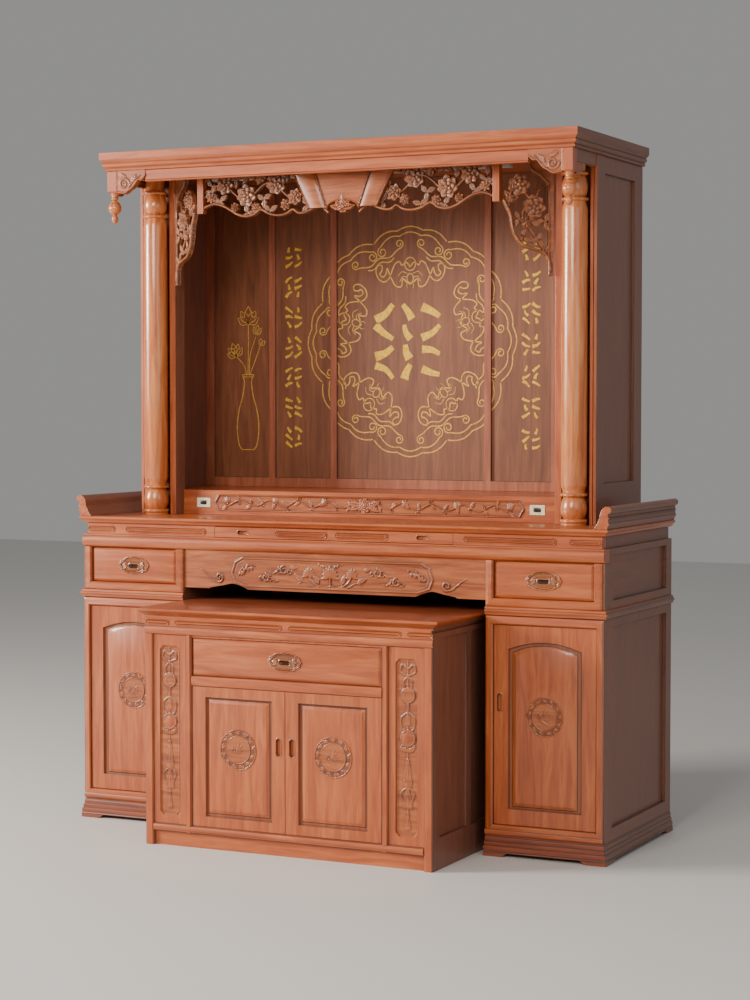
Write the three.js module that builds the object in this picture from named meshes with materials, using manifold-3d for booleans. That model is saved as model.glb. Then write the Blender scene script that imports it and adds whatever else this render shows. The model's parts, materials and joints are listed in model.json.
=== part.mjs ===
// A household altar cabinet, in millimetres, +Z up, with its front towards -Y.
// A table on two pedestals carries an open shrine under a moulded roof. A small cabinet
// stands on the floor in the kneehole, drawn out to the front. Everything is framed wood.
import * as THREE from 'three';
import { mergeVertices } from 'three/addons/utils/BufferGeometryUtils.js';
import Module from 'manifold-3d';

const wasm = await Module();
wasm.setup();

// ---- Driving dimensions. Y is 0 on the front face of the table and grows towards the back.
const GAP = 0.3; // left between pieces that touch
const DEPTH = 625; // from the table's front face to its back
const TABLE_HALF = 920;
const TABLE_HEIGHT = 1010;
const TOTAL_HEIGHT = 2205;
const BOARD = 22; // common board thickness

const KNEEHOLE_HALF = 534;
const PLINTH_TOP = 65;
const PLINTH_OUT = 10;
const FOOT_HEIGHT = 12;
const PEDESTAL_TOP = 740;
const WAIST_TOP = 768;
const RAIL_BOTTOM = 908;
const FRIEZE_BOTTOM = 950;
const TOP_BOTTOM = 986;
const TOP_OUT = 12;
const FRIEZE_BACK = 11; // how far the frieze lies behind the table's faces
const STILE = 27; // width of the convex frames round doors and drawers

const DOOR_X = [563, 893];
const DOOR_Z = [100, 711];
const DRAWER_X = [563, 886];
const DRAWER_Z = [794, 906];
const SLIDE_HALF = 422; // half width of the pull-out board
const SIDE_PANEL_Y = [72, 571];

const ROOF_BOTTOM = 2145;
const ROOF_HALF = 815;
const ROOF_OUT = 22;
const ROOF_FRONT = -4;
const FASCIA_BOTTOM = 2107;
const PILLAR_FRONT = 198;
const PILLAR_BACK = 258;
const PILLAR_X = [682, 817];
const COLUMN_AT = [750, 184];
const COLUMN_RADIUS = 40;
const WALL_FRONT = 600; // the shrine's back wall
const STEP_FRONT = 250;
const STEP_TOP = 1092;
const FRET_FRONT = 100; // the pierced frieze
const FRET_THICK = 14;
const DIVIDER_X = [513, 536];

const CABINET_HALF = 496;
const CABINET_Y = [-300, 240];
const CABINET_TOP = 746;
const CABINET_TOP_OUT = 20;
const CABINET_TOP_BOTTOM = 722;

const FRONTMOST = CABINET_Y[0] - CABINET_TOP_OUT;

// ---- Finishes: one reddish hardwood under clear lacquer, in the tones its parts show.
const finish = (color, roughness = 0.35, metalness = 0) => (
  new THREE.MeshStandardMaterial({ color, roughness, metalness }));
const FRONT_WOOD = finish(0xb9683c);
const SHADE_WOOD = finish(0x6b4636, 0.45);
const CARVED_WOOD = finish(0xa8653f, 0.5);
const TURNED_WOOD = finish(0xc27a48, 0.25);
const INNER_WOOD = finish(0x5e3426, 0.4);
const LAMP_WHITE = finish(0xd8d8d4, 0.4);
const SOCKET_CREAM = finish(0xe6dcc0, 0.35);

const altar = new THREE.Group();
altar.position.y = -(FRONTMOST + DEPTH) / 2;

// ---- Making solids

// A closed solid from a three.js geometry, with shared vertices merged.
function solid(geometry) {
  geometry.deleteAttribute('normal');
  geometry.deleteAttribute('uv');
  const merged = mergeVertices(geometry, 1e-4);
  const { array } = merged.index;
  const triVerts = [];
  for (let i = 0; i < array.length; i += 3) {
    const [a, b, c] = [array[i], array[i + 1], array[i + 2]];
    if (a !== b && b !== c && c !== a) triVerts.push(a, b, c);
  }
  return new wasm.Manifold(new wasm.Mesh({
    numProp: 3,
    vertProperties: new Float32Array(merged.attributes.position.array),
    triVerts: new Uint32Array(triVerts),
  }));
}

// The same solid as a three.js geometry again.
function geometryOf(piece) {
  const mesh = piece.getMesh();
  const geometry = new THREE.BufferGeometry();
  geometry.setAttribute('position', new THREE.Float32BufferAttribute(mesh.vertProperties, 3));
  geometry.setIndex([...mesh.triVerts]);
  return geometry;
}

// Turns a geometry into its mirror image across the middle of the altar.
function mirrored(geometry) {
  const { array } = geometry.attributes.position;
  for (let i = 0; i < array.length; i += 3) array[i] = -array[i];
  const { array: index } = geometry.index;
  for (let i = 0; i < index.length; i += 3) [index[i + 1], index[i + 2]] = [index[i + 2], index[i + 1]];
  return geometry;
}

const join = (...pieces) => pieces.flat().reduce((whole, piece) => whole.add(piece));
const cut = (whole, ...tools) => tools.flat().reduce((rest, tool) => rest.subtract(tool), whole);

// The end face of a loft: its outline cut into triangles in the plane where it is widest.
function capFaces(ring, first, forward) {
  const spans = [0, 1, 2].map((axis) => {
    const values = ring.map((point) => point[axis]);
    return Math.max(...values) - Math.min(...values);
  });
  const thin = spans.indexOf(Math.min(...spans));
  const [u, v] = [0, 1, 2].filter((axis) => axis !== thin);
  const flat = ring.map((point) => new THREE.Vector2(point[u], point[v]));
  const turn = Math.sign(THREE.ShapeUtils.area(flat));
  return THREE.ShapeUtils.triangulateShape(flat, []).map((face) => {
    const same = Math.sign(THREE.ShapeUtils.area(face.map((i) => flat[i]))) === turn;
    const [a, b, c] = face.map((i) => i + first);
    return same === forward ? [a, b, c] : [a, c, b];
  });
}

// A solid through a row of outlines with one point count; closed joins the last to the first.
function loft(rings, closed = false) {
  const count = rings[0].length;
  const faces = [];
  for (let k = 0; k < rings.length - (closed ? 0 : 1); k += 1) {
    const near = k * count;
    const far = ((k + 1) % rings.length) * count;
    for (let i = 0; i < count; i += 1) {
      const j = (i + 1) % count;
      faces.push([near + i, near + j, far + j], [near + i, far + j, far + i]);
    }
  }
  if (!closed) {
    faces.push(...capFaces(rings[0], 0, false));
    faces.push(...capFaces(rings.at(-1), (rings.length - 1) * count, true));
  }
  const points = rings.flat().map((point) => new THREE.Vector3(...point));
  const volume = faces.reduce((sum, [a, b, c]) => (
    sum + points[a].dot(new THREE.Vector3().crossVectors(points[b], points[c]))), 0);
  const outward = volume > 0 ? faces : faces.map(([a, b, c]) => [a, c, b]);
  const geometry = new THREE.BufferGeometry();
  geometry.setAttribute('position', new THREE.Float32BufferAttribute(rings.flat(2), 3));
  geometry.setIndex(outward.flat());
  return solid(geometry);
}

// A stretch of X on the right, with its mirror image on the left, each in rising order.
const bothSides = ([a, b]) => [[-b, -a], [a, b]];

// A plain board between two corners.
function box([x0, x1], [y0, y1], [z0, z1]) {
  const geometry = new THREE.BoxGeometry(x1 - x0, y1 - y0, z1 - z0);
  geometry.translate((x0 + x1) / 2, (y0 + y1) / 2, (z0 + z1) / 2);
  return solid(geometry);
}

// A block with moulded edges: each step of the profile is [projection, height].
function mouldedBlock([x0, x1], [y0, y1], profile, { left = 1, right = 1, back = 0 } = {}) {
  return loft(profile.map(([out, z]) => [
    [x0 - out * left, y0 - out, z],
    [x1 + out * right, y0 - out, z],
    [x1 + out * right, y1 + out * back, z],
    [x0 - out * left, y1 + out * back, z],
  ]));
}

// A mitred picture-frame moulding: each step of its closed profile is [distance out, depth].
function mitredFrame([x0, x1], [z0, z1], profile) {
  return loft(profile.map(([out, y]) => [
    [x0 - out, y, z0 - out],
    [x1 + out, y, z0 - out],
    [x1 + out, y, z1 + out],
    [x0 - out, y, z1 + out],
  ]), true);
}

// Bars of one section: along X from [y, z] points, along Y from [x, z] and along Z from [x, y].
const barX = ([x0, x1], section) => loft([x0, x1].map((x) => section.map(([y, z]) => [x, y, z])));
const barY = ([y0, y1], section) => loft([y0, y1].map((y) => section.map(([x, z]) => [x, y, z])));
const barZ = ([z0, z1], section) => loft([z0, z1].map((z) => section.map(([x, y]) => [x, y, z])));

// A turned piece about a vertical axis, from [radius, height] steps.
function turned([x, y], profile, segments) {
  const steps = profile.map(([radius, z]) => new THREE.Vector2(radius, z));
  const geometry = new THREE.LatheGeometry(steps, segments);
  geometry.rotateX(Math.PI / 2);
  geometry.translate(x, y, 0);
  return solid(geometry);
}

// Sets a geometry drawn at the origin in its place, turned about the vertical.
function placed(geometry, [x, y, z], turn = 0) {
  geometry.rotateZ(turn);
  geometry.translate(x, y, z);
  return solid(geometry);
}

// ---- Carving, worked on a face that looks towards -Y

// A relief from an outline: levels are [scale, depth] steps from the ground to the top.
function relief([x, z], outline, levels) {
  return loft(levels.map(([scale, y]) => outline.map(([u, v]) => [x + u * scale, y, z + v * scale])));
}

// An outline given by its radius at each angle.
function polarOutline(count, radius, turn = 0) {
  return Array.from({ length: count }, (_, i) => {
    const angle = turn + (i / count) * 2 * Math.PI;
    return [radius(i) * Math.cos(angle), radius(i) * Math.sin(angle)];
  });
}

// A slot outline with round ends, long along X.
function capsuleOutline(halfLength, halfHeight, steps = 4) {
  const ends = [1, -1].flatMap((side) => Array.from({ length: steps + 1 }, (_, i) => {
    const angle = side * (-Math.PI / 2 + (i / steps) * Math.PI);
    return [
      side * (halfLength - halfHeight) + side * halfHeight * Math.cos(angle),
      halfHeight * Math.sin(angle),
    ];
  }));
  return ends;
}

const upright = (outline) => outline.map(([u, v]) => [-v, u]);
const swing = (outline, angle) => outline.map(([u, v]) => [
  u * Math.cos(angle) - v * Math.sin(angle),
  u * Math.sin(angle) + v * Math.cos(angle),
]);

// An open blossom: notched petals that rise to a small raised heart.
function blossom(at, radius, ground, height, petals = 5, turn = 0) {
  const outline = polarOutline(petals * 2, (i) => radius * (i % 2 ? 0.62 : 1), turn);
  return relief(at, outline, [[1, ground], [1, ground - height * 0.7], [0.45, ground - height]]);
}

// A leaf or petal that points along an angle from its foot.
function leaf(at, length, width, angle, ground, height) {
  const half = width / 2;
  const outline = [
    [-half * 0.4, 0],
    [length * 0.45, -half],
    [length, 0],
    [length * 0.45, half],
  ];
  return relief(at, swing(outline, angle), [[1, ground], [1, ground - height]]);
}

// A strip of carving along a row of [x, z] points, which may narrow towards its end.
function strip(points, width, ground, top, taper = 1) {
  return loft(points.map(([x, z], i) => {
    const [ax, az] = points[Math.max(i - 1, 0)];
    const [bx, bz] = points[Math.min(i + 1, points.length - 1)];
    const length = Math.hypot(bx - ax, bz - az);
    const half = (width / 2) * (1 + (taper - 1) * (i / (points.length - 1)));
    const [nx, nz] = [(-(bz - az) / length) * half, ((bx - ax) / length) * half];
    return [
      [x + nx, ground, z + nz],
      [x - nx, ground, z - nz],
      [x - nx, top, z - nz],
      [x + nx, top, z + nz],
    ];
  }));
}

// Points of a curl that winds inwards round a centre.
function curl([x, z], radius, turns, start, hand = 1, steps = 8) {
  return Array.from({ length: steps + 1 }, (_, i) => {
    const t = i / steps;
    const angle = start + hand * turns * 2 * Math.PI * t;
    const r = radius * (1 - 0.72 * t);
    return [x + r * Math.cos(angle), z + r * Math.sin(angle)];
  });
}

// Points along a smooth curve through a few [x, z] marks.
function smooth(marks, steps) {
  const curve = new THREE.SplineCurve(marks.map(([x, z]) => new THREE.Vector2(x, z)));
  return curve.getPoints(steps).map((point) => [point.x, point.y]);
}

// The round carved medallion: a raised ring about a sunk disc with a bird on it.
function medallion(at, radius, ground) {
  const outline = polarOutline(12, () => radius);
  const disc = relief(at, outline, [
    [1, ground + 1],
    [0.97, ground - 3],
    [0.74, ground - 3],
    [0.7, ground - 1],
  ]);
  const feathers = [0.15, 2.1, 3.4].map((angle, i) => (
    leaf(at, radius * (i ? 0.5 : 0.62), radius * 0.26, (angle * Math.PI) / 2, ground, 3)));
  return join(disc, feathers);
}

// The carved pull of a drawer: a lobed plate with a hollow for the fingers.
const PULL = { halfWidth: 57, halfHeight: 29, thick: 4, hollow: [46, 18, 12] };

function pullPlate([x, z], face) {
  const outline = polarOutline(16, (i) => (i % 2 ? 0.86 : 1)).map(([u, v]) => [
    u * PULL.halfWidth,
    v * PULL.halfHeight,
  ]);
  return relief([x, z], outline, [[1, face + 1], [0.9, face - PULL.thick]]);
}

function pullHollow([x, z], face) {
  const [width, height, deep] = PULL.hollow;
  return relief([x, z - 5], capsuleOutline(width / 2, height / 2, 3), [
    [1, face - PULL.thick - 1],
    [0.9, face - PULL.thick + deep],
  ]);
}

// An upright finger slot, sunk in the edge stile of a door.
const SLOT = { halfLength: 28, halfWidth: 9, deep: 11 };

function fingerSlot([x, z], face) {
  return relief([x, z], upright(capsuleOutline(SLOT.halfLength, SLOT.halfWidth, 3)), [
    [1, face - 1],
    [1, face + SLOT.deep],
  ]);
}

// Reeding with round ends, which stands a little proud of a frieze.
const reeding = ([x0, x1], z, halfHeight, face) => relief(
  [(x0 + x1) / 2, z],
  capsuleOutline((x1 - x0) / 2, halfHeight, 3),
  [[1, face + 1], [0.985, face - 2]],
);

// ---- Joinery shared by the table and the small cabinet

// The outline of a panel: square below, with an arch of the given rise above.
function archOutline([x0, x1], [z0, z1], rise, grow = 0, steps = 6) {
  const [left, right, foot, spring] = [x0 - grow, x1 + grow, z0 - grow, z1 + grow];
  const top = Array.from({ length: steps + 1 }, (_, i) => {
    const t = 1 - (2 * i) / steps;
    return [(left + right) / 2 + (t * (right - left)) / 2, spring + rise * (1 - t * t)];
  });
  return [[left, foot], [right, foot], ...(rise ? top : [[right, spring], [left, spring]])];
}

const flatRing = (outline, y) => outline.map(([x, z]) => [x, y, z]);

// A framed door with a sunk rebate and a raised field in it.
function panelledDoor({ x, z, face, thick, rebate, field, rise, disc, slot }) {
  const sunk = face + 7;
  const slab = box(x, [face, face + thick], z);
  const pocket = loft([
    flatRing(archOutline(rebate.x, rebate.z, rise, 2), face - 1),
    flatRing(archOutline(rebate.x, rebate.z, rise), sunk),
  ]);
  const raised = loft([
    flatRing(archOutline(field.x, field.z, rise, 12), sunk + 1),
    flatRing(archOutline(field.x, field.z, rise, 11), sunk - 1),
    flatRing(archOutline(field.x, field.z, rise), face + 1),
  ]);
  const panelled = join(cut(slab, pocket), raised, medallion(disc.at, disc.radius, face + 1));
  return cut(panelled, fingerSlot(slot, face));
}

// A drawer: a bevelled front with its pull, and an open box behind it.
const DRAWER = { front: 20, bevel: 9, fall: 6, side: 12, bottom: 9, margin: 8 };

function drawer([x0, x1], [z0, z1], face, depth) {
  const { front, bevel, fall, side, bottom, margin } = DRAWER;
  const grown = (grow) => flatRing(archOutline([x0, x1], [z0, z1], 0, grow), 0);
  const at = (grow, y) => grown(grow).map(([x, , z]) => [x, y, z]);
  const slab = loft([at(0, face + front), at(0, face + fall), at(-bevel, face)]);
  const outside = box([x0 + margin, x1 - margin], [face + front - 1, face + depth], [z0 + 4, z1 - 12]);
  const inside = box(
    [x0 + margin + side, x1 - margin - side],
    [face + front, face + depth - side],
    [z0 + 4 + bottom, z1],
  );
  const middle = [(x0 + x1) / 2, (z0 + z1) / 2];
  const whole = join(slab, cut(outside, inside), pullPlate(middle, face));
  return cut(whole, pullHollow(middle, face));
}

// The convex moulding mitred round a door or drawer opening.
const convexFrame = (x, z, face) => mitredFrame(x, z, [
  [0, face + 6],
  [0, face - 4],
  [5, face - 9],
  [11, face - 7],
  [20, face - 6],
  [STILE - 1, face - 3],
  [STILE - 1, face + 6],
]);

// Cuts the sunk panels into the outer side of a framed wall.
const sunkPanel = (x, y, z) => box([x, x + 30], y, z);

// ---- The table

const PLINTH_PROFILE = [
  [10, 0],
  [10, 14],
  [8, 17],
  [9, 22],
  [9, 30],
  [5, 33],
  [6, 42],
  [2, 46],
  [3, 56],
  [0, 60],
  [0, PLINTH_TOP - GAP],
];

// A moulded base frame on four bracket feet, with ogee ends to the feet.
function plinth() {
  const x = [KNEEHOLE_HALF, TABLE_HALF];
  const foot = 60;
  const ogee = 16;
  const body = mouldedBlock(x, [0, DEPTH], PLINTH_PROFILE, { left: 0.4 });
  const well = box([x[0] + BOARD, x[1] - BOARD], [BOARD, DEPTH - BOARD], [-1, PLINTH_TOP + 1]);
  const lift = (from, to) => [
    [from, -1],
    [from + ogee, FOOT_HEIGHT * 0.4],
    [from + ogee * 1.5, FOOT_HEIGHT],
    [to - ogee * 1.5, FOOT_HEIGHT],
    [to - ogee, FOOT_HEIGHT * 0.4],
    [to, -1],
  ];
  const underFront = barY([-30, DEPTH + 30], lift(x[0] + foot - 10, x[1] - foot + 10));
  const underSide = barX([x[0] - 30, x[1] + 30], lift(foot - 10, DEPTH - foot + 10));
  return cut(body, well, underFront, underSide);
}

// One pedestal: five boards, with a convex frame round the door opening.
function pedestal() {
  const x = [KNEEHOLE_HALF, TABLE_HALF];
  const z = [PLINTH_TOP, PEDESTAL_TOP];
  const opening = [DOOR_X[0] - 1, DOOR_X[1] + 1];
  const openingZ = [DOOR_Z[0] - 1, DOOR_Z[1] + 1];
  const body = box(x, [0, DEPTH], z);
  const inside = box([x[0] + BOARD, x[1] - 25], [BOARD, DEPTH - 20], [z[0] + 20, z[1] - BOARD]);
  const mouth = box(opening, [-20, BOARD + 1], openingZ);
  const skirt = barX([x[0] + 1, x[1] - 1], [
    [2, z[0]],
    [-3, z[0]],
    [-9, z[0] + 6],
    [-9, z[0] + 14],
    [-5, z[0] + 20],
    [2, z[0] + 22],
  ]);
  const whole = join(body, skirt, convexFrame(opening, openingZ, 0));
  return cut(whole, inside, mouth, sunkPanel(x[1] - 11, SIDE_PANEL_Y, [DOOR_Z[0] + 4, DOOR_Z[1] + 2]));
}

const WAIST_PROFILE = [
  [0, PEDESTAL_TOP + GAP],
  [6, PEDESTAL_TOP + 2],
  [8, PEDESTAL_TOP + 9],
  [11, PEDESTAL_TOP + 12],
  [11, PEDESTAL_TOP + 16],
  [7, PEDESTAL_TOP + 19],
  [6, PEDESTAL_TOP + 25],
  [0, WAIST_TOP - GAP],
];

const waist = () => mouldedBlock([KNEEHOLE_HALF, TABLE_HALF], [0, DEPTH], WAIST_PROFILE, { left: 0 });

// The housing of one end drawer, open above, with a notch for the long front rail.
function drawerCase() {
  const x = [KNEEHOLE_HALF, TABLE_HALF];
  const opening = [DRAWER_X[0] - 1, DRAWER_X[1] + 1];
  const openingZ = [DRAWER_Z[0] - 1, DRAWER_Z[1] + 1];
  const body = join(
    box(x, [0, DEPTH], [WAIST_TOP, FRIEZE_BOTTOM]),
    box([x[0], x[1] - FRIEZE_BACK], [0, DEPTH], [FRIEZE_BOTTOM - 1, TOP_BOTTOM - GAP]),
  );
  const frame = cut(
    convexFrame(opening, openingZ, 0),
    box([x[0] - 50, x[1] + 50], [-30, 30], [RAIL_BOTTOM, RAIL_BOTTOM + 90]),
    box([x[0] - 50, x[1] + 50], [-30, 30], [WAIST_TOP - 20, WAIST_TOP]),
  );
  const inner = [x[0] + BOARD, x[1] - 30];
  const floor = WAIST_TOP + 18;
  const hollow = cut(
    box(inner, [BOARD, DEPTH - 20], [floor, TOP_BOTTOM + 1]),
    [[inner[0], inner[0] + 24], [inner[1] - 24, inner[1]]].map((run) => (
      box(run, [BOARD, DEPTH - 20], [floor, DRAWER_Z[0] + 3]))),
  );
  return cut(
    join(body, frame),
    hollow,
    box([x[0] - 1, x[1] + 1], [-30, 40 + GAP], [RAIL_BOTTOM, TOP_BOTTOM + 1]),
    box(opening, [-20, BOARD + 1], openingZ),
    sunkPanel(x[1] - 11, SIDE_PANEL_Y, [WAIST_TOP + 25, FRIEZE_BOTTOM - 20]),
  );
}

// The long rail over the drawers, with a frieze block at each end of the pull-out board.
const REED_Z = (FRIEZE_BOTTOM + TOP_BOTTOM) / 2;
const REED_HALF = 10;

function frontRail() {
  const z = RAIL_BOTTOM + GAP;
  const rail = barX([-TABLE_HALF, TABLE_HALF], [
    [40, z],
    [1, z],
    [-6, z + 3],
    [-11, z + 11],
    [-12, z + 22],
    [-9, z + 32],
    [-3, z + 37],
    [-4, FRIEZE_BOTTOM],
    [40, FRIEZE_BOTTOM],
  ]);
  const edge = TABLE_HALF - FRIEZE_BACK;
  const blocks = bothSides([SLIDE_HALF + GAP, edge]).map((x) => (
    box(x, [8, 40], [FRIEZE_BOTTOM - 1, TOP_BOTTOM - GAP])));
  const reeds = [[456, 761], [803, edge - 1]].flatMap((x) => (
    bothSides(x).map((ends) => reeding(ends, REED_Z, REED_HALF, 8))));
  return join(rail, blocks, reeds);
}

// The board that pulls out from the frieze, with a finger slot near each end of its front.
function pulloutBoard() {
  const front = box([-SLIDE_HALF, SLIDE_HALF], [8, 26], [FRIEZE_BOTTOM + 1, TOP_BOTTOM - 1]);
  const leafBoard = box([-SLIDE_HALF, SLIDE_HALF], [25, 500], [FRIEZE_BOTTOM + 1, FRIEZE_BOTTOM + 17]);
  const reeds = bothSides([14, 200]).map((x) => reeding(x, REED_Z, REED_HALF, 8));
  const slots = [-318, 318].map((x) => (
    relief([x, REED_Z], capsuleOutline(20, 7, 3), [[1, 7], [1, 19]])));
  return cut(join(front, leafBoard, reeds), slots);
}

const TOP_PROFILE = [
  [-8, TOP_BOTTOM],
  [-2, TOP_BOTTOM + 3],
  [2, TOP_BOTTOM + 4],
  [4, TOP_BOTTOM + 9],
  [10, TOP_BOTTOM + 14],
  [TOP_OUT, TOP_BOTTOM + 16],
  [TOP_OUT, TABLE_HEIGHT - 3],
  [TOP_OUT - 3, TABLE_HEIGHT],
];

const tableTop = () => mouldedBlock([-TABLE_HALF, TABLE_HALF], [0, DEPTH], TOP_PROFILE);

// The raised end of the table top: it leans out to a rolled edge, moulded on its outer face.
const galleryEnd = () => barY([-10, DEPTH], [
  [886, 0],
  [898, 18],
  [905, 34],
  [908, 52],
  [914, 62],
  [923, 68],
  [934, 68],
  [941, 62],
  [942, 55],
  [938, 48],
  [932, 46],
  [932, 36],
  [936, 33],
  [932, 30],
  [933, 19],
  [936, 15],
  [931, 9],
  [928, 0],
].map(([x, up]) => [x, TABLE_HEIGHT + GAP + up]));

const kneeholeBack = () => box(
  [-KNEEHOLE_HALF + GAP, KNEEHOLE_HALF - GAP],
  [DEPTH - 20, DEPTH],
  [PLINTH_TOP, TOP_BOTTOM - GAP],
);

// The dust board under the pull-out board, with a guide along each side of it.
function dustBoard() {
  const y = [40 + GAP, DEPTH - 20 - GAP];
  const board = box([-KNEEHOLE_HALF + GAP, KNEEHOLE_HALF - GAP], y, [FRIEZE_BOTTOM - 16, FRIEZE_BOTTOM]);
  const guides = bothSides([SLIDE_HALF + 1, SLIDE_HALF + 24]).map((x) => (
    box(x, y, [FRIEZE_BOTTOM - 1, FRIEZE_BOTTOM + 19])));
  return join(board, guides);
}

// The carved apron over the kneehole.
const APRON = { face: 4, thick: 20, foot: 786, archTop: 804, cartouche: [355, 787, 888] };

// A lotus seen from the side, its petals fanned up from a short foot.
function lotus(at, size, ground, height, petals = 5) {
  const points = petals * 2 - 1;
  const fan = Array.from({ length: points }, (_, i) => {
    const angle = Math.PI * (0.1 + (0.8 * i) / (points - 1));
    const reach = size * (i % 2 ? 0.66 : 1);
    return [reach * Math.cos(angle), reach * Math.sin(angle)];
  });
  const outline = [[size * 0.22, -size * 0.12], ...fan, [-size * 0.22, -size * 0.12]];
  return relief(at, outline, [[1, ground], [0.9, ground - height]]);
}

// A small cloud: a long lobed outline.
function cloud(at, size, ground, top) {
  const outline = polarOutline(8, (i) => size * (i % 2 ? 0.7 : 1)).map(([u, v]) => [u * 1.5, v * 0.75]);
  return relief(at, outline, [[1, ground], [1, top]]);
}

// A bat with spread, scalloped wings, a common sign of good fortune.
const BAT_REACH = [1, 0.55, 0.75, 0.42, 0.5, 0.42, 0.75, 0.55, 1, 0.5, 0.6, 0.5];

function bat(at, size, ground, height, turn = 0) {
  const outline = polarOutline(BAT_REACH.length, (i) => size * BAT_REACH[i]);
  return relief(at, swing(outline, turn), [[1, ground], [0.9, ground - height]]);
}

function apron() {
  const { face, thick, foot, archTop, cartouche } = APRON;
  const [half, low, high] = cartouche;
  const edge = [1, -1].flatMap((side) => {
    const rise = smooth([[437, foot + 3], [418, foot + 4], [355, archTop], [298, foot + 1]], 7)
      .map(([x, z]) => [side * x, z]);
    return side > 0 ? rise : rise.reverse();
  });
  const board = new THREE.Shape([
    [KNEEHOLE_HALF - GAP, RAIL_BOTTOM],
    [KNEEHOLE_HALF - GAP, foot],
    ...edge,
    [-KNEEHOLE_HALF + GAP, foot],
    [-KNEEHOLE_HALF + GAP, RAIL_BOTTOM],
  ].map(([x, z]) => new THREE.Vector2(x, z)));
  const plain = new THREE.ExtrudeGeometry(board, { depth: thick, bevelEnabled: false });
  plain.rotateX(Math.PI / 2);
  plain.translate(0, face + thick, 0);
  const frame = [[half - 40, high], [half - 12, high - 12], [half, (low + high) / 2], [half - 12, low + 22]];
  const ring = [...frame, [half - 55, low + 10]];
  const loop = [...ring, ...[...ring].reverse().map(([x, z]) => [-x, z])];
  const border = [...loop, loop[0]];
  const stems = [-1, 1].flatMap((side) => [
    strip(smooth([[0, 806], [side * 28, 800], [side * 62, 818], [side * 76, 838]], 5), 6, face + 1, face - 3),
    strip(curl([side * 403, 822], 14, 1.1, -Math.PI / 2, -side), 7, face + 1, face - 4, 0.6),
    lotus([side * 76, 836], 26, face + 1, 5, 3),
    cloud([side * 165, 862], 17, face + 1, face - 3),
    cloud([side * 240, 826], 17, face + 1, face - 3),
    bat([side * 318, 846], 27, face + 1, 4, side * 0.5),
  ]);
  return join(
    solid(plain),
    strip(border, 7, face + 1, face - 4),
    lotus([0, 832], 36, face + 1, 6),
    strip([[0, 800], [0, 834]], 7, face + 1, face - 4),
    stems,
  );
}

// ---- The shrine on the table

// A pillar board: two strips with a web behind them, where the column stands.
function pilaster() {
  const z = [TABLE_HEIGHT + GAP, ROOF_BOTTOM - GAP];
  return join(
    box([PILLAR_X[0], PILLAR_X[0] + 22], [PILLAR_FRONT, PILLAR_BACK], z),
    box([PILLAR_X[0] + 21, PILLAR_X[1] - 21], [PILLAR_BACK - 18, PILLAR_BACK], z),
    box([PILLAR_X[1] - 22, PILLAR_X[1] - 12], [PILLAR_FRONT, PILLAR_BACK], z),
    box([PILLAR_X[1] - 13, PILLAR_X[1] - 9], [PILLAR_FRONT + 5, PILLAR_BACK], z),
    box([PILLAR_X[1] - 10, PILLAR_X[1]], [PILLAR_FRONT, PILLAR_BACK], z),
  );
}

// A turned column: a bulb between rings at each end of a long shaft.
function column() {
  const r = COLUMN_RADIUS;
  const foot = TABLE_HEIGHT + GAP;
  const head = ROOF_BOTTOM - GAP;
  const bulb = (from, to) => {
    const high = to - from;
    return [
      [r * 0.8, from],
      [r, from + high * 0.4],
      [r * 0.95, from + high * 0.7],
      [r * 0.8, to],
    ];
  };
  const ring = (z) => [[r * 1.06, z], [r * 1.06, z + 9]];
  return turned(COLUMN_AT, [
    [0, foot],
    [r, foot],
    ...ring(foot + 8),
    ...bulb(foot + 22, foot + 84),
    ...ring(foot + 88),
    [r * 0.86, foot + 102],
    [r, foot + 116],
    [r, 1984],
    [r * 0.86, 2000],
    ...ring(2004),
    ...bulb(2018, 2080),
    ...ring(2082),
    [r * 0.8, 2096],
    [r * 0.8, head],
    [0, head],
  ], 12);
}

// A side wall with one tall sunk panel on its outer face.
function shrineSide() {
  return cut(
    box(
      [ROOF_HALF - BOARD, ROOF_HALF],
      [PILLAR_BACK + GAP, DEPTH],
      [TABLE_HEIGHT + GAP, ROOF_BOTTOM - GAP],
    ),
    sunkPanel(ROOF_HALF - 9, [PILLAR_BACK + 14, 548], [1137, 2092]),
  );
}

// The back wall: five tall panels between proud stiles, over a low rail.
const WALL_STILES = [[275, 300], [515, 540], [760, ROOF_HALF - BOARD - GAP]];

function shrineBack() {
  const half = ROOF_HALF - BOARD - GAP;
  const z = [TABLE_HEIGHT + GAP, ROOF_BOTTOM - GAP];
  const stiles = WALL_STILES.flatMap(bothSides).map((x) => (
    box(x, [WALL_FRONT - 8, WALL_FRONT + 1], [STEP_TOP + GAP, z[1]])));
  return join(
    box([-half, half], [WALL_FRONT, DEPTH], z),
    box([-half, half], [WALL_FRONT - 8, WALL_FRONT + 1], [STEP_TOP + GAP, 1125]),
    stiles,
  );
}

// The low step on which the images stand, with a trailing vine carved on its front.
const STEP_CARVING = { half: 560, low: 1026, high: 1076 };
const SOCKET_AT = [[-604, 1050], [604, 1050]];
const SOCKET_HALF = [26, 16];

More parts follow.
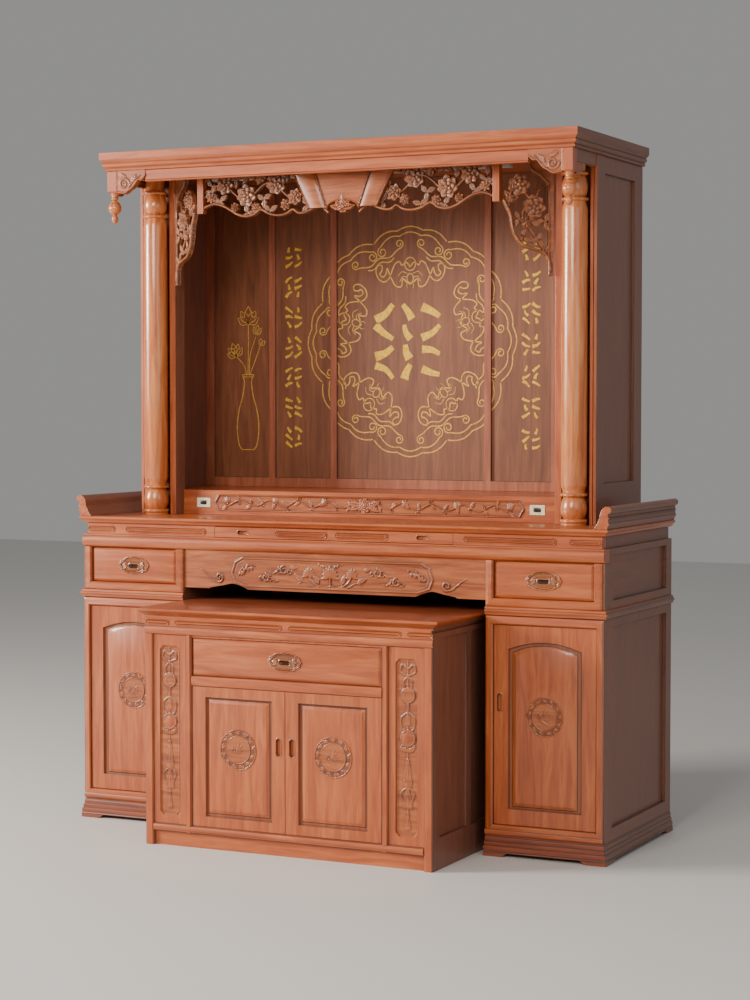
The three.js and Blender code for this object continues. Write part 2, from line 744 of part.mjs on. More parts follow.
function shrineStep() {
  const half = PILLAR_X[0] - GAP;
  const wide = ROOF_HALF - BOARD - GAP;
  const { half: reach, low, high } = STEP_CARVING;
  const middle = (low + high) / 2;
  const face = STEP_FRONT;
  const front = box([-half, half], [face, face + BOARD], [TABLE_HEIGHT + GAP, STEP_TOP]);
  const shelf = box([-wide, wide], [PILLAR_BACK + GAP, WALL_FRONT - GAP], [STEP_TOP - 18, STEP_TOP]);
  const border = [
    [reach, middle], [reach - 16, high], [-reach + 16, high], [-reach, middle],
    [-reach + 16, low], [reach - 16, low], [reach, middle],
  ];
  const wave = (t) => [t * (reach - 60), middle + 10 * Math.sin(t * 5 * Math.PI)];
  const vines = [-1, 1].map((side) => strip(
    Array.from({ length: 12 }, (_, i) => wave(side * (0.06 + (0.94 * i) / 11))),
    6, face + 1, face - 3, 0.5,
  ));
  const leaves = [-4, -3, -2, -1, 1, 2, 3, 4].map((k) => {
    const side = Math.sign(k);
    const turn = (k % 2 ? 0.5 : -0.5) + (side < 0 ? Math.PI : 0);
    return leaf(wave(k / 5 - 0.1 * side), 26, 10, turn, face + 1, 4);
  });
  const sockets = SOCKET_AT.map(([x, z]) => box(
    [x - SOCKET_HALF[0] - GAP, x + SOCKET_HALF[0] + GAP],
    [face - 1, face + 8 + GAP],
    [z - SOCKET_HALF[1] - GAP, z + SOCKET_HALF[1] + GAP],
  ));
  return cut(join(
    front,
    shelf,
    strip(border, 5, face + 1, face - 3),
    vines,
    leaves,
    blossom([0, middle], 20, face + 1, 6, 6),
  ), sockets);
}

// A small socket plate let into the step, with a sunk middle.
const socketPlate = ([x, z]) => cut(
  box(
    [x - SOCKET_HALF[0], x + SOCKET_HALF[0]],
    [STEP_FRONT - 2, STEP_FRONT + 8],
    [z - SOCKET_HALF[1], z + SOCKET_HALF[1]],
  ),
  box([x - 13, x + 13], [STEP_FRONT - 3, STEP_FRONT + 1], [z - 7, z + 7]),
);

// ---- The pierced canopy of the shrine

// The lower edge of the frieze, from the divider to the middle: three bays that meet in cusps.
const FRET_BAYS = [
  { marks: [[513, 2018], [474, 2030], [416, 2010], [359, 1987], [302, 2007]], steps: 8 },
  { marks: [[302, 2007], [240, 1986], [184, 2003]], steps: 4 },
  { marks: [[184, 2003], [145, 1991], [87, 2013], [60, 1990]], steps: 6 },
];
const FRET_BORDER = 9;
const FRET_TOP = ROOF_BOTTOM - GAP;
const PLAQUE = { foot: 2008, head: FRET_TOP, footHalf: 123, headHalf: 192, fold: [56, 112] };

// A pierced board inside an outline: blossoms along a wandering stem, and leaf-shaped
// piercings on the other side of the stem from each blossom.
function piercedBoard(bounds, marks, radius, ground, front) {
  const high = ground - front;
  const board = relief([0, 0], bounds, [[1, ground], [1, front + 4]]);
  const piercings = marks.flatMap(({ hole, turn }) => [0, 1, 2].map((j) => (
    leaf(hole, radius * 0.98, radius * 0.62, turn + (j * 2 * Math.PI) / 3, ground + 5, high + 20))));
  const blossoms = marks.map(({ at }, k) => (
    blossom(at, radius * (k % 2 ? 0.88 : 1), ground, high + 2 + (k % 3) * 3, 5, k)));
  return join(cut(board, piercings), blossoms);
}

// The pierced frieze on one side of the plaque.
function fretwork() {
  const [ground, front] = [FRET_FRONT + FRET_THICK, FRET_FRONT];
  const edge = FRET_BAYS.flatMap(({ marks, steps }, i) => smooth(marks, steps).slice(i ? 1 : 0));
  const border = strip(edge.map(([x, z]) => [x, z + FRET_BORDER / 2]), FRET_BORDER, ground, front - 2);
  const inner = PLAQUE.footHalf + 2;
  const rim = edge.filter(([x]) => x > inner).map(([x, z]) => [x, z + FRET_BORDER / 2]);
  const bounds = [...rim, [inner, FRET_TOP], [DIVIDER_X[0], FRET_TOP]];
  const blooms = 5;
  const step = (DIVIDER_X[0] - PLAQUE.headHalf) / blooms;
  const marks = Array.from({ length: blooms }, (_, k) => {
    const x = DIVIDER_X[0] - step * (k + 0.5);
    const side = k % 2 ? 1 : -1;
    return { at: [x, 2076 - 28 * side], hole: [x, 2078 + 30 * side], turn: k };
  });
  const beyond = box([DIVIDER_X[0], DIVIDER_X[0] + 20], [0, 200], [1900, FRET_TOP]);
  return cut(join(border, piercedBoard(bounds, marks, 35, ground, front)), beyond);
}

// The upright between the frieze and a spandrel.
const divider = () => box(
  [DIVIDER_X[0] + GAP, DIVIDER_X[1] - GAP],
  [FRET_FRONT - 4, FRET_FRONT + FRET_THICK + 6],
  [2004, FRET_TOP],
);

// The oblique pierced wing between the divider and the pillar, drawn in its own plane.
const WING = { from: [DIVIDER_X[1] + 7, FRET_FRONT + 4], to: [PILLAR_X[0] - 8, PILLAR_FRONT - 2] };

function spandrel() {
  const [dx, dy] = [WING.to[0] - WING.from[0], WING.to[1] - WING.from[1]];
  const long = Math.hypot(dx, dy);
  const thick = 12;
  const edge = [
    ...smooth([[2, 2004], [22, 1963], [28, 1928], [39, 1896], [63, 1868], [92, 1858]], 8),
    ...smooth([[92, 1858], [125, 1847], [143, 1826], [150, 1790]], 4).slice(1),
  ];
  const board = box([long - 18, long], [0, thick], [1777, FRET_TOP]);
  const bounds = [...edge.slice(0, -1), [long - 4, 1800], [long - 4, FRET_TOP], [2, FRET_TOP]];
  const marks = [
    { at: [46, 2098], hole: [112, 2104], turn: 0.3 },
    { at: [112, 2046], hole: [44, 2034], turn: 1 },
    { at: [62, 1974], hole: [120, 1976], turn: 0.6 },
    { at: [112, 1912], hole: [66, 1908], turn: 0.2 },
  ];
  const pierced = piercedBoard(bounds, marks, 36, thick, 0);
  const wing = join(strip(edge, FRET_BORDER, thick, -2), board, pierced);
  return placed(geometryOf(wing), [WING.from[0], WING.from[1], 0], Math.atan2(dy, dx));
}

// The blank banner in the middle of the frieze, with rolled sides and a blossom below it.
function plaque() {
  const { foot, head, footHalf, headHalf, fold } = PLAQUE;
  const back = FRET_FRONT - 2.5;
  const section = (z, half, foldHalf) => {
    const flap = half - foldHalf;
    const right = [
      [foldHalf, back - 12],
      [foldHalf + flap * 0.12, back - 8],
      [foldHalf + flap * 0.35, back - 14],
      [foldHalf + flap * 0.7, back - 13],
      [foldHalf + flap * 0.93, back - 7],
      [half, back - 6],
      [half, back],
    ];
    const left = [...right].reverse().map(([x, y]) => [-x, y]);
    return [...right, ...left].map(([x, y]) => [x, y, z]);
  };
  const banner = loft([section(foot, footHalf, fold[0]), section(head, headHalf, fold[1])]);
  const arch = barY([0, back + 20], [
    [-58, foot - 2],
    [58, foot - 2],
    ...polarOutline(12, () => 1).slice(1, 6).map(([u, v]) => [56 * u, foot - 2 + 26 * v]),
  ]);
  const flower = join(
    blossom([0, foot - 1], 24, back, 13, 6),
    [-1, 1].flatMap((side) => [0.25, 0.75].map((up) => leaf(
      [side * 8, foot - 6], 44, 22, side > 0 ? up * 0.8 - 0.1 : Math.PI - up * 0.8 + 0.1, back, 9))),
    strip([[0, foot + 14], [0, foot + 34]], 18, back, back - 6),
  );
  return join(cut(banner, arch), flower);
}

// ---- The roof

const ROOF_PROFILE = [
  [0, ROOF_BOTTOM],
  [8, ROOF_BOTTOM + 1],
  [10, ROOF_BOTTOM + 6],
  [7, ROOF_BOTTOM + 11],
  [13, ROOF_BOTTOM + 15],
  [15, ROOF_BOTTOM + 21],
  [12, ROOF_BOTTOM + 26],
  [18, ROOF_BOTTOM + 32],
  [ROOF_OUT, ROOF_BOTTOM + 37],
  [ROOF_OUT, TOTAL_HEIGHT],
];

const roof = () => mouldedBlock([-ROOF_HALF, ROOF_HALF], [ROOF_FRONT, DEPTH], ROOF_PROFILE);

const POST_X = [780, 816];
const POST_Y = [-8, 28];
const POST_FOOT = 2073;
const BRACKET_LONG = 108;

// The front board under the roof, with a bead along its foot.
const fasciaFront = () => barX([-(POST_X[0] - BRACKET_LONG) + GAP, POST_X[0] - BRACKET_LONG - GAP], [
  [16, FASCIA_BOTTOM],
  [-5, FASCIA_BOTTOM],
  [-7, FASCIA_BOTTOM + 3],
  [-4, FASCIA_BOTTOM + 6],
  [-4, ROOF_BOTTOM - GAP],
  [16, ROOF_BOTTOM - GAP],
]);

const fasciaSide = () => box(
  [ROOF_HALF - 19, ROOF_HALF - 1],
  [POST_Y[1] + GAP, PILLAR_FRONT - GAP],
  [FASCIA_BOTTOM, ROOF_BOTTOM - GAP],
);

// A square corner post with chamfered foot and a turned drop below it.
function cornerPost() {
  const middle = [(POST_X[0] + POST_X[1]) / 2, (POST_Y[0] + POST_Y[1]) / 2];
  const square = (inset, z) => [
    [POST_X[0] + inset, POST_Y[0] + inset, z],
    [POST_X[1] - inset, POST_Y[0] + inset, z],
    [POST_X[1] - inset, POST_Y[1] - inset, z],
    [POST_X[0] + inset, POST_Y[1] - inset, z],
  ];
  const post = loft([square(6, POST_FOOT), square(0, POST_FOOT + 6), square(0, ROOF_BOTTOM - GAP)]);
  const drop = turned(middle, [
    [0, 1975],
    [10, 1984],
    [11, 1994],
    [6, 2004],
    [19, 2016],
    [22, 2028],
    [18, 2040],
    [7, 2051],
    [12, 2060],
    [12, 2066],
    [7, POST_FOOT + 5],
    [0, POST_FOOT + 5],
  ], 10);
  return join(post, drop);
}

// A bracket cut to a cloud outline, its scroll carved on the face; along runs from the post.
function bracket(long, high, thick, scroll) {
  const outline = [
    [0, 0],
    [long, 0],
    ...smooth([[long, -high * 0.42], [long * 0.8, -high * 0.6], [long * 0.62, -high * 0.5]], 4),
    ...smooth([[long * 0.5, -high * 0.86], [long * 0.3, -high], [0, -high * 0.92]], 4),
  ];
  const board = loft([0, thick].map((y) => outline.map(([x, z]) => [x, y, z])));
  const lines = [
    strip(curl([long * 0.3, -high * 0.55], high * 0.27, 1.15, 0, 1), 6, 1, -3, 0.6),
    strip([[long * 0.5, -high * 0.5], [long * 0.7, -high * 0.3], [long * 0.9, -high * 0.2]], 6, 1, -3, 0.5),
  ];
  return scroll ? join(board, lines) : board;
}

const bracketFront = () => placed(
  mirrored(geometryOf(bracket(BRACKET_LONG - 2 * GAP, ROOF_BOTTOM - 2068, 20, true))),
  [POST_X[0] - GAP, -6, ROOF_BOTTOM - GAP],
);

const bracketSide = () => placed(
  geometryOf(bracket(78, 40, 14, false)),
  [ROOF_HALF - 2, POST_Y[1] + GAP, FASCIA_BOTTOM - GAP],
  Math.PI / 2,
);

const lampBatten = () => box([-540, 540], [176, 200], [2116, ROOF_BOTTOM - GAP]);

// ---- The small cabinet

const POST = [328, 350];
const CARVED_X = [350.5, 465.5];
const CARVED_Z = [71, 663];
const OUTER_STILE = 466;
const CABINET_DRAWER_Z = [541, 657];
const CABINET_DOOR_Z = [71, 507];
const CABINET_WALL = 18;
const CABINET_FLOOR = [45 + GAP, 62];
const CABINET_SHELF = [516, 532];
const CREST_TOP = 690;

// The boards of the small cabinet: a box with a floor, a shelf and two upright partitions.
function cabinetBox() {
  const [front, back] = CABINET_Y;
  const half = CABINET_HALF;
  const inner = [-half + CABINET_WALL, half - CABINET_WALL];
  const depth = [front + BOARD, back - 14];
  const joint = 1; // how far a board runs into its neighbour
  const wide = [inner[0] - joint, inner[1] + joint];
  const deep = [depth[0] - joint, depth[1] + joint];
  const shelf = box(wide, deep, CABINET_SHELF);
  const partitions = bothSides([POST[0] + 4, POST[1] - 4]).map((x) => (
    box(x, deep, [CABINET_SHELF[1] - joint, CREST_TOP + joint])));
  const runners = bothSides([POST[0] - 22, POST[0] + 5]).map((x) => (
    box(x, [depth[0] - joint, 140], [CABINET_SHELF[1] - joint, CABINET_DRAWER_Z[0] + 3])));
  return join(
    cut(
      box([-half, half], CABINET_Y, [0, CABINET_TOP_BOTTOM - GAP]),
      box(inner, depth, [CABINET_FLOOR[1], CREST_TOP]),
      box([-OUTER_STILE, OUTER_STILE], [front - 1, front + 30], [-1, CABINET_FLOOR[0]]),
      box(inner, [front + 29, depth[1]], [-1, CABINET_FLOOR[0]]),
    ),
    shelf,
    partitions,
    runners,
  );
}

// The convex rails, the rounded posts and the reeded frieze on its front.
function cabinetMouldings() {
  const front = CABINET_Y[0];
  const crest = (z0, z1, out) => [
    [front + 2, z0],
    [front - out * 0.6, z0 + 2],
    [front - out, (z0 + z1) / 2 - 3],
    [front - out, (z0 + z1) / 2 + 3],
    [front - out * 0.6, z1 - 2],
    [front + 2, z1],
  ];
  const upright = ([x0, x1], z) => barZ(z, [
    [x0, front + 2],
    [x0 + 4, front - 6],
    [x1 - 4, front - 6],
    [x1, front + 2],
  ]);
  return [
    barX([-CABINET_HALF, CABINET_HALF], crest(664, CREST_TOP, 8)),
    barX([-POST[0], POST[0]], crest(508, 540, 5)),
    barX([-OUTER_STILE, OUTER_STILE], crest(46, 70, 8)),
    ...bothSides(POST).map((x) => upright(x, [47, 665])),
    ...bothSides([OUTER_STILE, CABINET_HALF]).map((x) => upright(x, [0, 665])),
    ...bothSides([12, 390]).map((x) => reeding(x, 702, 7, front)),
  ];
}

// What is cut away: the mouths of doors, drawer and carved panels, and the sunk side panels.
function cabinetCuts() {
  const [front, back] = CABINET_Y;
  const through = [front - 20, front + BOARD + 1];
  const mouth = [-POST[0] + 1, POST[0] - 1];
  const sides = bothSides([CABINET_HALF - 8, CABINET_HALF + 1]);
  const panels = [[front + 45, -55], [-20, back - 45]];
  const bands = bothSides([CABINET_HALF - 6, CABINET_HALF + 1]);
  return [
    box(mouth, through, [CABINET_DOOR_Z[0] - 1, CABINET_DOOR_Z[1] + 1]),
    box(mouth, through, [CABINET_DRAWER_Z[0] - 1, CABINET_DRAWER_Z[1] + 1]),
    ...bothSides([CARVED_X[0] - GAP, CARVED_X[1] + GAP]).map((x) => (
      box(x, through, [CARVED_Z[0] - GAP, CARVED_Z[1] + GAP]))),
    ...sides.flatMap((x) => panels.map((y) => box(x, y, [96, CREST_TOP]))),
    ...bands.map((x) => box(x, [front - 1, back + 1], [708, CABINET_TOP_BOTTOM - 6])),
  ];
}

const cabinetCarcase = () => cut(join(cabinetBox(), cabinetMouldings()), cabinetCuts());

const CABINET_TOP_PROFILE = [
  [0, CABINET_TOP_BOTTOM],
  [6, CABINET_TOP_BOTTOM + 3],
  [10, CABINET_TOP_BOTTOM + 9],
  [17, CABINET_TOP_BOTTOM + 13],
  [CABINET_TOP_OUT, CABINET_TOP_BOTTOM + 15],
  [CABINET_TOP_OUT, CABINET_TOP - 3],
  [CABINET_TOP_OUT - 3, CABINET_TOP],
];

const cabinetTop = () => mouldedBlock([-CABINET_HALF, CABINET_HALF], CABINET_Y, CABINET_TOP_PROFILE);

const cabinetPlinth = () => box(
  [-OUTER_STILE + GAP, OUTER_STILE - GAP],
  [CABINET_Y[0] + 8, CABINET_Y[0] + 28],
  [0, 45],
);

// A tall carved panel: a sunk ground with a string of hanging ornaments.
function carvedPanel() {
  const face = CABINET_Y[0] + 1;
  const ground = face + 5;
  const x = (CARVED_X[0] + CARVED_X[1]) / 2;
  const outline = [
    [36, -255], [24, -267], [-24, -267], [-36, -255],
    [-36, 255], [-24, 267], [24, 267], [36, 255],
  ];
  const board = cut(
    box(CARVED_X, [face, face + 16], CARVED_Z),
    relief([x, 363], outline, [[1, face - 1], [0.985, ground]]),
  );
  const tassel = (z, half, long) => {
    const neck = half * 0.4;
    const shoulder = -long * 0.3;
    const skirt = [[neck, 0], [neck, shoulder], [half, -long], [-half, -long], [-neck, shoulder], [-neck, 0]];
    return relief([x, z], skirt, [[1, ground + 1], [1, ground - 3]]);
  };
  const ringRelief = (z, shape, steps) => relief([x, z], polarOutline(10, shape), steps);
  const string = [
    strip([[x, 628], [x, 100]], 5, ground + 1, ground - 2),
    bat([x, 560], 24, ground + 1, 4),
    ringRelief(520, () => 24, [[1, ground + 1], [0.9, ground - 4], [0.55, ground - 4], [0.5, ground - 1]]),
    tassel(490, 10, 62),
    ringRelief(392, (i) => (i % 2 ? 22 : 26), [[1, ground + 1], [1, ground - 3], [0.55, ground - 5]]),
    bat([x, 344], 22, ground + 1, 4, Math.PI),
    tassel(322, 16, 60),
    tassel(240, 18, 46),
  ];
  return join(board, string);
}

// ---- The finished group

function add(name, geometry, material) {
  geometry.computeVertexNormals();
  const node = new THREE.Mesh(geometry, material);
  node.name = name;
  altar.add(node);
}

function addPair(name, piece, material) {
  add(`${name}_left`, mirrored(geometryOf(piece)), material);
  add(`${name}_right`, geometryOf(piece), material);
}

const pedestalDoor = () => panelledDoor({
  x: DOOR_X,
  z: DOOR_Z,
  face: 0,
  thick: 21,
  rebate: { x: [612, 845], z: [151, 637] },
  field: { x: [634, 821], z: [168, 617] },
  rise: 24,
  disc: { at: [728, 436], radius: 60 },
  slot: [581, 473],
});

const cabinetDoor = () => panelledDoor({
  x: [0.8, POST[0] - 2],
  z: CABINET_DOOR_Z,
  face: CABINET_Y[0],
  thick: 21,
  rebate: { x: [48, 277], z: [105, 473] },
  field: { x: [67, 260], z: [125, 458] },
  rise: 0,
  disc: { at: [164, 318], radius: 60 },
  slot: [23, 335],
});

addPair('plinth', plinth(), FRONT_WOOD);
addPair('pedestal', pedestal(), FRONT_WOOD);
addPair('door', pedestalDoor(), FRONT_WOOD);
addPair('waist', waist(), FRONT_WOOD);
addPair('drawer_case', drawerCase(), FRONT_WOOD);
addPair('drawer', drawer(DRAWER_X, DRAWER_Z, -2, 440), FRONT_WOOD);
add('front_rail', geometryOf(frontRail()), FRONT_WOOD);
add('pullout_board', geometryOf(pulloutBoard()), FRONT_WOOD);
add('apron', geometryOf(apron()), CARVED_WOOD);
add('kneehole_back', geometryOf(kneeholeBack()), INNER_WOOD);
add('dust_board', geometryOf(dustBoard()), INNER_WOOD);
add('table_top', geometryOf(tableTop()), FRONT_WOOD);
addPair('gallery', galleryEnd(), SHADE_WOOD);

addPair('pilaster', pilaster(), FRONT_WOOD);
addPair('column', column(), TURNED_WOOD);
addPair('shrine_side', shrineSide(), SHADE_WOOD);
add('shrine_back', geometryOf(shrineBack()), INNER_WOOD);
add('shrine_step', geometryOf(shrineStep()), FRONT_WOOD);
add('socket_left', geometryOf(socketPlate(SOCKET_AT[0])), SOCKET_CREAM);
add('socket_right', geometryOf(socketPlate(SOCKET_AT[1])), SOCKET_CREAM);
addPair('fretwork', fretwork(), CARVED_WOOD);
addPair('divider', divider(), FRONT_WOOD);
addPair('spandrel', spandrel(), CARVED_WOOD);
add('plaque', geometryOf(plaque()), CARVED_WOOD);
add('roof', geometryOf(roof()), FRONT_WOOD);
add('fascia_front', geometryOf(fasciaFront()), FRONT_WOOD);
addPair('fascia_side', fasciaSide(), SHADE_WOOD);
addPair('corner_post', cornerPost(), FRONT_WOOD);
addPair('bracket_front', bracketFront(), CARVED_WOOD);
addPair('bracket_side', bracketSide(), CARVED_WOOD);
add('lamp_batten', geometryOf(lampBatten()), LAMP_WHITE);

add('cabinet_carcase', geometryOf(cabinetCarcase()), FRONT_WOOD);
add('cabinet_top', geometryOf(cabinetTop()), FRONT_WOOD);
add('cabinet_plinth', geometryOf(cabinetPlinth()), FRONT_WOOD);
const cabinetDrawer = drawer([-POST[0] + 2, POST[0] - 2], CABINET_DRAWER_Z, CABINET_Y[0] - 2, 440);
add('cabinet_drawer', geometryOf(cabinetDrawer), FRONT_WOOD);
addPair('cabinet_door', cabinetDoor(), FRONT_WOOD);
addPair('cabinet_panel', carvedPanel(), CARVED_WOOD);

export default altar;
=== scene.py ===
"""The looks of a household altar cabinet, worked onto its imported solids.

Lengths are written in millimetres: x to the right, y from the table's front face towards
the back, z up from the floor. Each mesh turns them into the frame's metres.
"""
import json
import math

import bmesh
import bpy
import numpy as np
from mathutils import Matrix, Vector

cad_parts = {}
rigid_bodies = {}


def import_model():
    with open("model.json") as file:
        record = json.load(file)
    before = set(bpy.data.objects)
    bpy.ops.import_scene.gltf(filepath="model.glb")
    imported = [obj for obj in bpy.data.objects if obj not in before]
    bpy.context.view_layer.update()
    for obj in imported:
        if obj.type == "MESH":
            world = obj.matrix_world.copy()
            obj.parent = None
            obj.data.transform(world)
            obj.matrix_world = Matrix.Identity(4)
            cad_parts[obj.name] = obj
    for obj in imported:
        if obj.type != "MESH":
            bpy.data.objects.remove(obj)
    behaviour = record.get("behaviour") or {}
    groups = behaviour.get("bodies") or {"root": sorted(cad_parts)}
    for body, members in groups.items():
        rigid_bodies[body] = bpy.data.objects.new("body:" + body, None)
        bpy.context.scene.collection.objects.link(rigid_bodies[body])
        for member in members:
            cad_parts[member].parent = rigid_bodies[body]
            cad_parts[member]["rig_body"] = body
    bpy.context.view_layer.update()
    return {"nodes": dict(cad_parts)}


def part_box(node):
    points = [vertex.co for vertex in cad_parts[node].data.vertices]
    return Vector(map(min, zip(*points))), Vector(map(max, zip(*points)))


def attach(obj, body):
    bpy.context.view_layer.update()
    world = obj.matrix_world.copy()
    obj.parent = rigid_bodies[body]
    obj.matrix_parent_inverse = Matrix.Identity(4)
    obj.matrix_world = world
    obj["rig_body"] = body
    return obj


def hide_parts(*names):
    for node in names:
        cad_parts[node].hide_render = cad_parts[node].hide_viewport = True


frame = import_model()
nodes = frame["nodes"]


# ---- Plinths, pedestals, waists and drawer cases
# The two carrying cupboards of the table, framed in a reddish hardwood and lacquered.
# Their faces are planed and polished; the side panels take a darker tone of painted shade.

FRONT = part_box("front_rail")[1].y * 1000 - 40  # the table's front face, 40 mm before the rail's back


def linear(hex_code):
    """An sRGB hex colour as linear light: ((c + 0.055) / 1.055) ** 2.4 above 0.04045, else c / 12.92."""
    srgb = np.array([int(hex_code[i : i + 2], 16) for i in (1, 3, 5)]) / 255
    light = np.where(srgb > 0.04045, ((srgb + 0.055) / 1.055) ** 2.4, srgb / 12.92)
    return (*light.tolist(), 1.0)


def add(tree, kind, inputs=None, stops=(), **settings):
    """One node: a socket among its inputs is linked, any other value is set, and so are its settings.

    stops are a colour ramp's (position, hex colour), from left to right.
    """
    made = tree.nodes.new(kind)
    for name, value in settings.items():
        setattr(made, name, value)
    for name, value in (inputs or {}).items():
        if isinstance(value, bpy.types.NodeSocket):
            tree.links.new(value, made.inputs[name])
        else:
            made.inputs[name].default_value = value
    for k, (place, colour) in enumerate(stops):
        bar = made.color_ramp.elements
        stop = bar[k] if k < len(bar) else bar.new(place)
        stop.position = place
        stop.color = linear(colour)
    return made


def shade_of(hex_code, share):
    """The same hex colour with each channel brought down to a share of its value."""
    channels = [int(int(hex_code[i : i + 2], 16) * share) for i in (1, 3, 5)]
    return "#" + "".join(f"{value:02x}" for value in channels)


def lacquered_wood(name, tones, along, rough=0.4, coat=0.45, ring=24.0, pore=1.8):
    """Hardwood under clear lacquer: broad rings and fine pores, both drawn out along the grain.

    tones are the dark, middle and light colour, along is the grain's axis, and ring and pore
    are their widths across the grain in millimetres. A shade attribute on the mesh mixes in painted
    shade: a darker tone in the recesses of carving and in inner corners.
    """
    made = bpy.data.materials.new(name)
    made.use_nodes = True
    tree = made.node_tree
    shader = tree.nodes["Principled BSDF"]
    where = add(tree, "ShaderNodeTexCoord").outputs["Object"]

    def grain(width, stretch, detail, bend):
        across = [1000 / width] * 3
        across["xyz".index(along)] /= stretch
        turned = add(tree, "ShaderNodeMapping", {"Vector": where, "Scale": across})
        noise = {"Vector": turned.outputs[0], "Scale": 1.0, "Detail": detail, "Distortion": bend}
        return add(tree, "ShaderNodeTexNoise", noise).outputs["Fac"]

    rings = grain(ring, 11, 3.0, 1.1)
    pores = grain(pore, 26, 2.0, 0.1)
    dark, middle, light = tones
    body_stops = [(0.25, dark), (0.5, middle), (0.75, light)]
    body = add(tree, "ShaderNodeValToRGB", {"Fac": rings}, body_stops).outputs["Color"]
    line_stops = [(0.36, "#8a8a8a"), (0.56, "#ffffff")]
    lines = add(tree, "ShaderNodeValToRGB", {"Fac": pores}, line_stops).outputs["Color"]
    grained = add(tree, "ShaderNodeMix", data_type="RGBA", blend_type="MULTIPLY")
    grained.inputs["Factor"].default_value = 0.2
    tree.links.new(body, grained.inputs["A"])
    tree.links.new(lines, grained.inputs["B"])
    # Painted shade: where the mesh marks a recess or an inner corner, the colour is mixed towards a darker
    # tone of the wood.
    painted_shade = add(tree, "ShaderNodeAttribute", attribute_name="painted_shade").outputs["Fac"]
    shaded = add(tree, "ShaderNodeMix", data_type="RGBA", blend_type="MIX")
    tree.links.new(painted_shade, shaded.inputs["Factor"])
    tree.links.new(grained.outputs["Result"], shaded.inputs["A"])
    shaded.inputs["B"].default_value = linear(shade_of(dark, 0.42))
    tree.links.new(shaded.outputs["Result"], shader.inputs["Base Color"])
    gloss = {"Value": rings, "To Min": rough * 0.85, "To Max": rough * 1.25}
    tree.links.new(add(tree, "ShaderNodeMapRange", gloss).outputs["Result"], shader.inputs["Roughness"])
    bump = {"Height": pores, "Strength": 0.12, "Distance": 0.0004}
    tree.links.new(add(tree, "ShaderNodeBump", bump).outputs["Normal"], shader.inputs["Normal"])
    shader.inputs["Coat Weight"].default_value = coat
    shader.inputs["Coat Roughness"].default_value = 0.13
    return made


# Lacquered rosewood-red hardwood: warm orange-brown where the light falls on it. The ends take
# painted shade: a duller, darker brown with less lacquer, so they fall back behind the fronts.
FRONT_TONES = ("#924118", "#aa5224", "#bd6630")
SHADE_TONES = ("#734737", "#80503d", "#8b5944")
stile_wood = lacquered_wood("Lacquered hardwood upright", FRONT_TONES, "z")
rail_wood = lacquered_wood("Lacquered hardwood crosswise", FRONT_TONES, "x")
shaded_side_wood = lacquered_wood("Hardwood upright in painted shade", SHADE_TONES, "z", rough=0.42, coat=0.2)
shaded_side_rail = lacquered_wood("Hardwood lengthwise in painted shade", SHADE_TONES, "y", rough=0.42, coat=0.2)


def link(name, mesh, material):
    """An object of that mesh with its material, smooth all over."""
    piece = bpy.data.objects.new(name, mesh)
    bpy.context.scene.collection.objects.link(piece)
    if material:
        mesh.materials.clear()
        mesh.materials.append(material)
    mesh.polygons.foreach_set("use_smooth", np.ones(len(mesh.polygons), dtype=bool))
    return piece


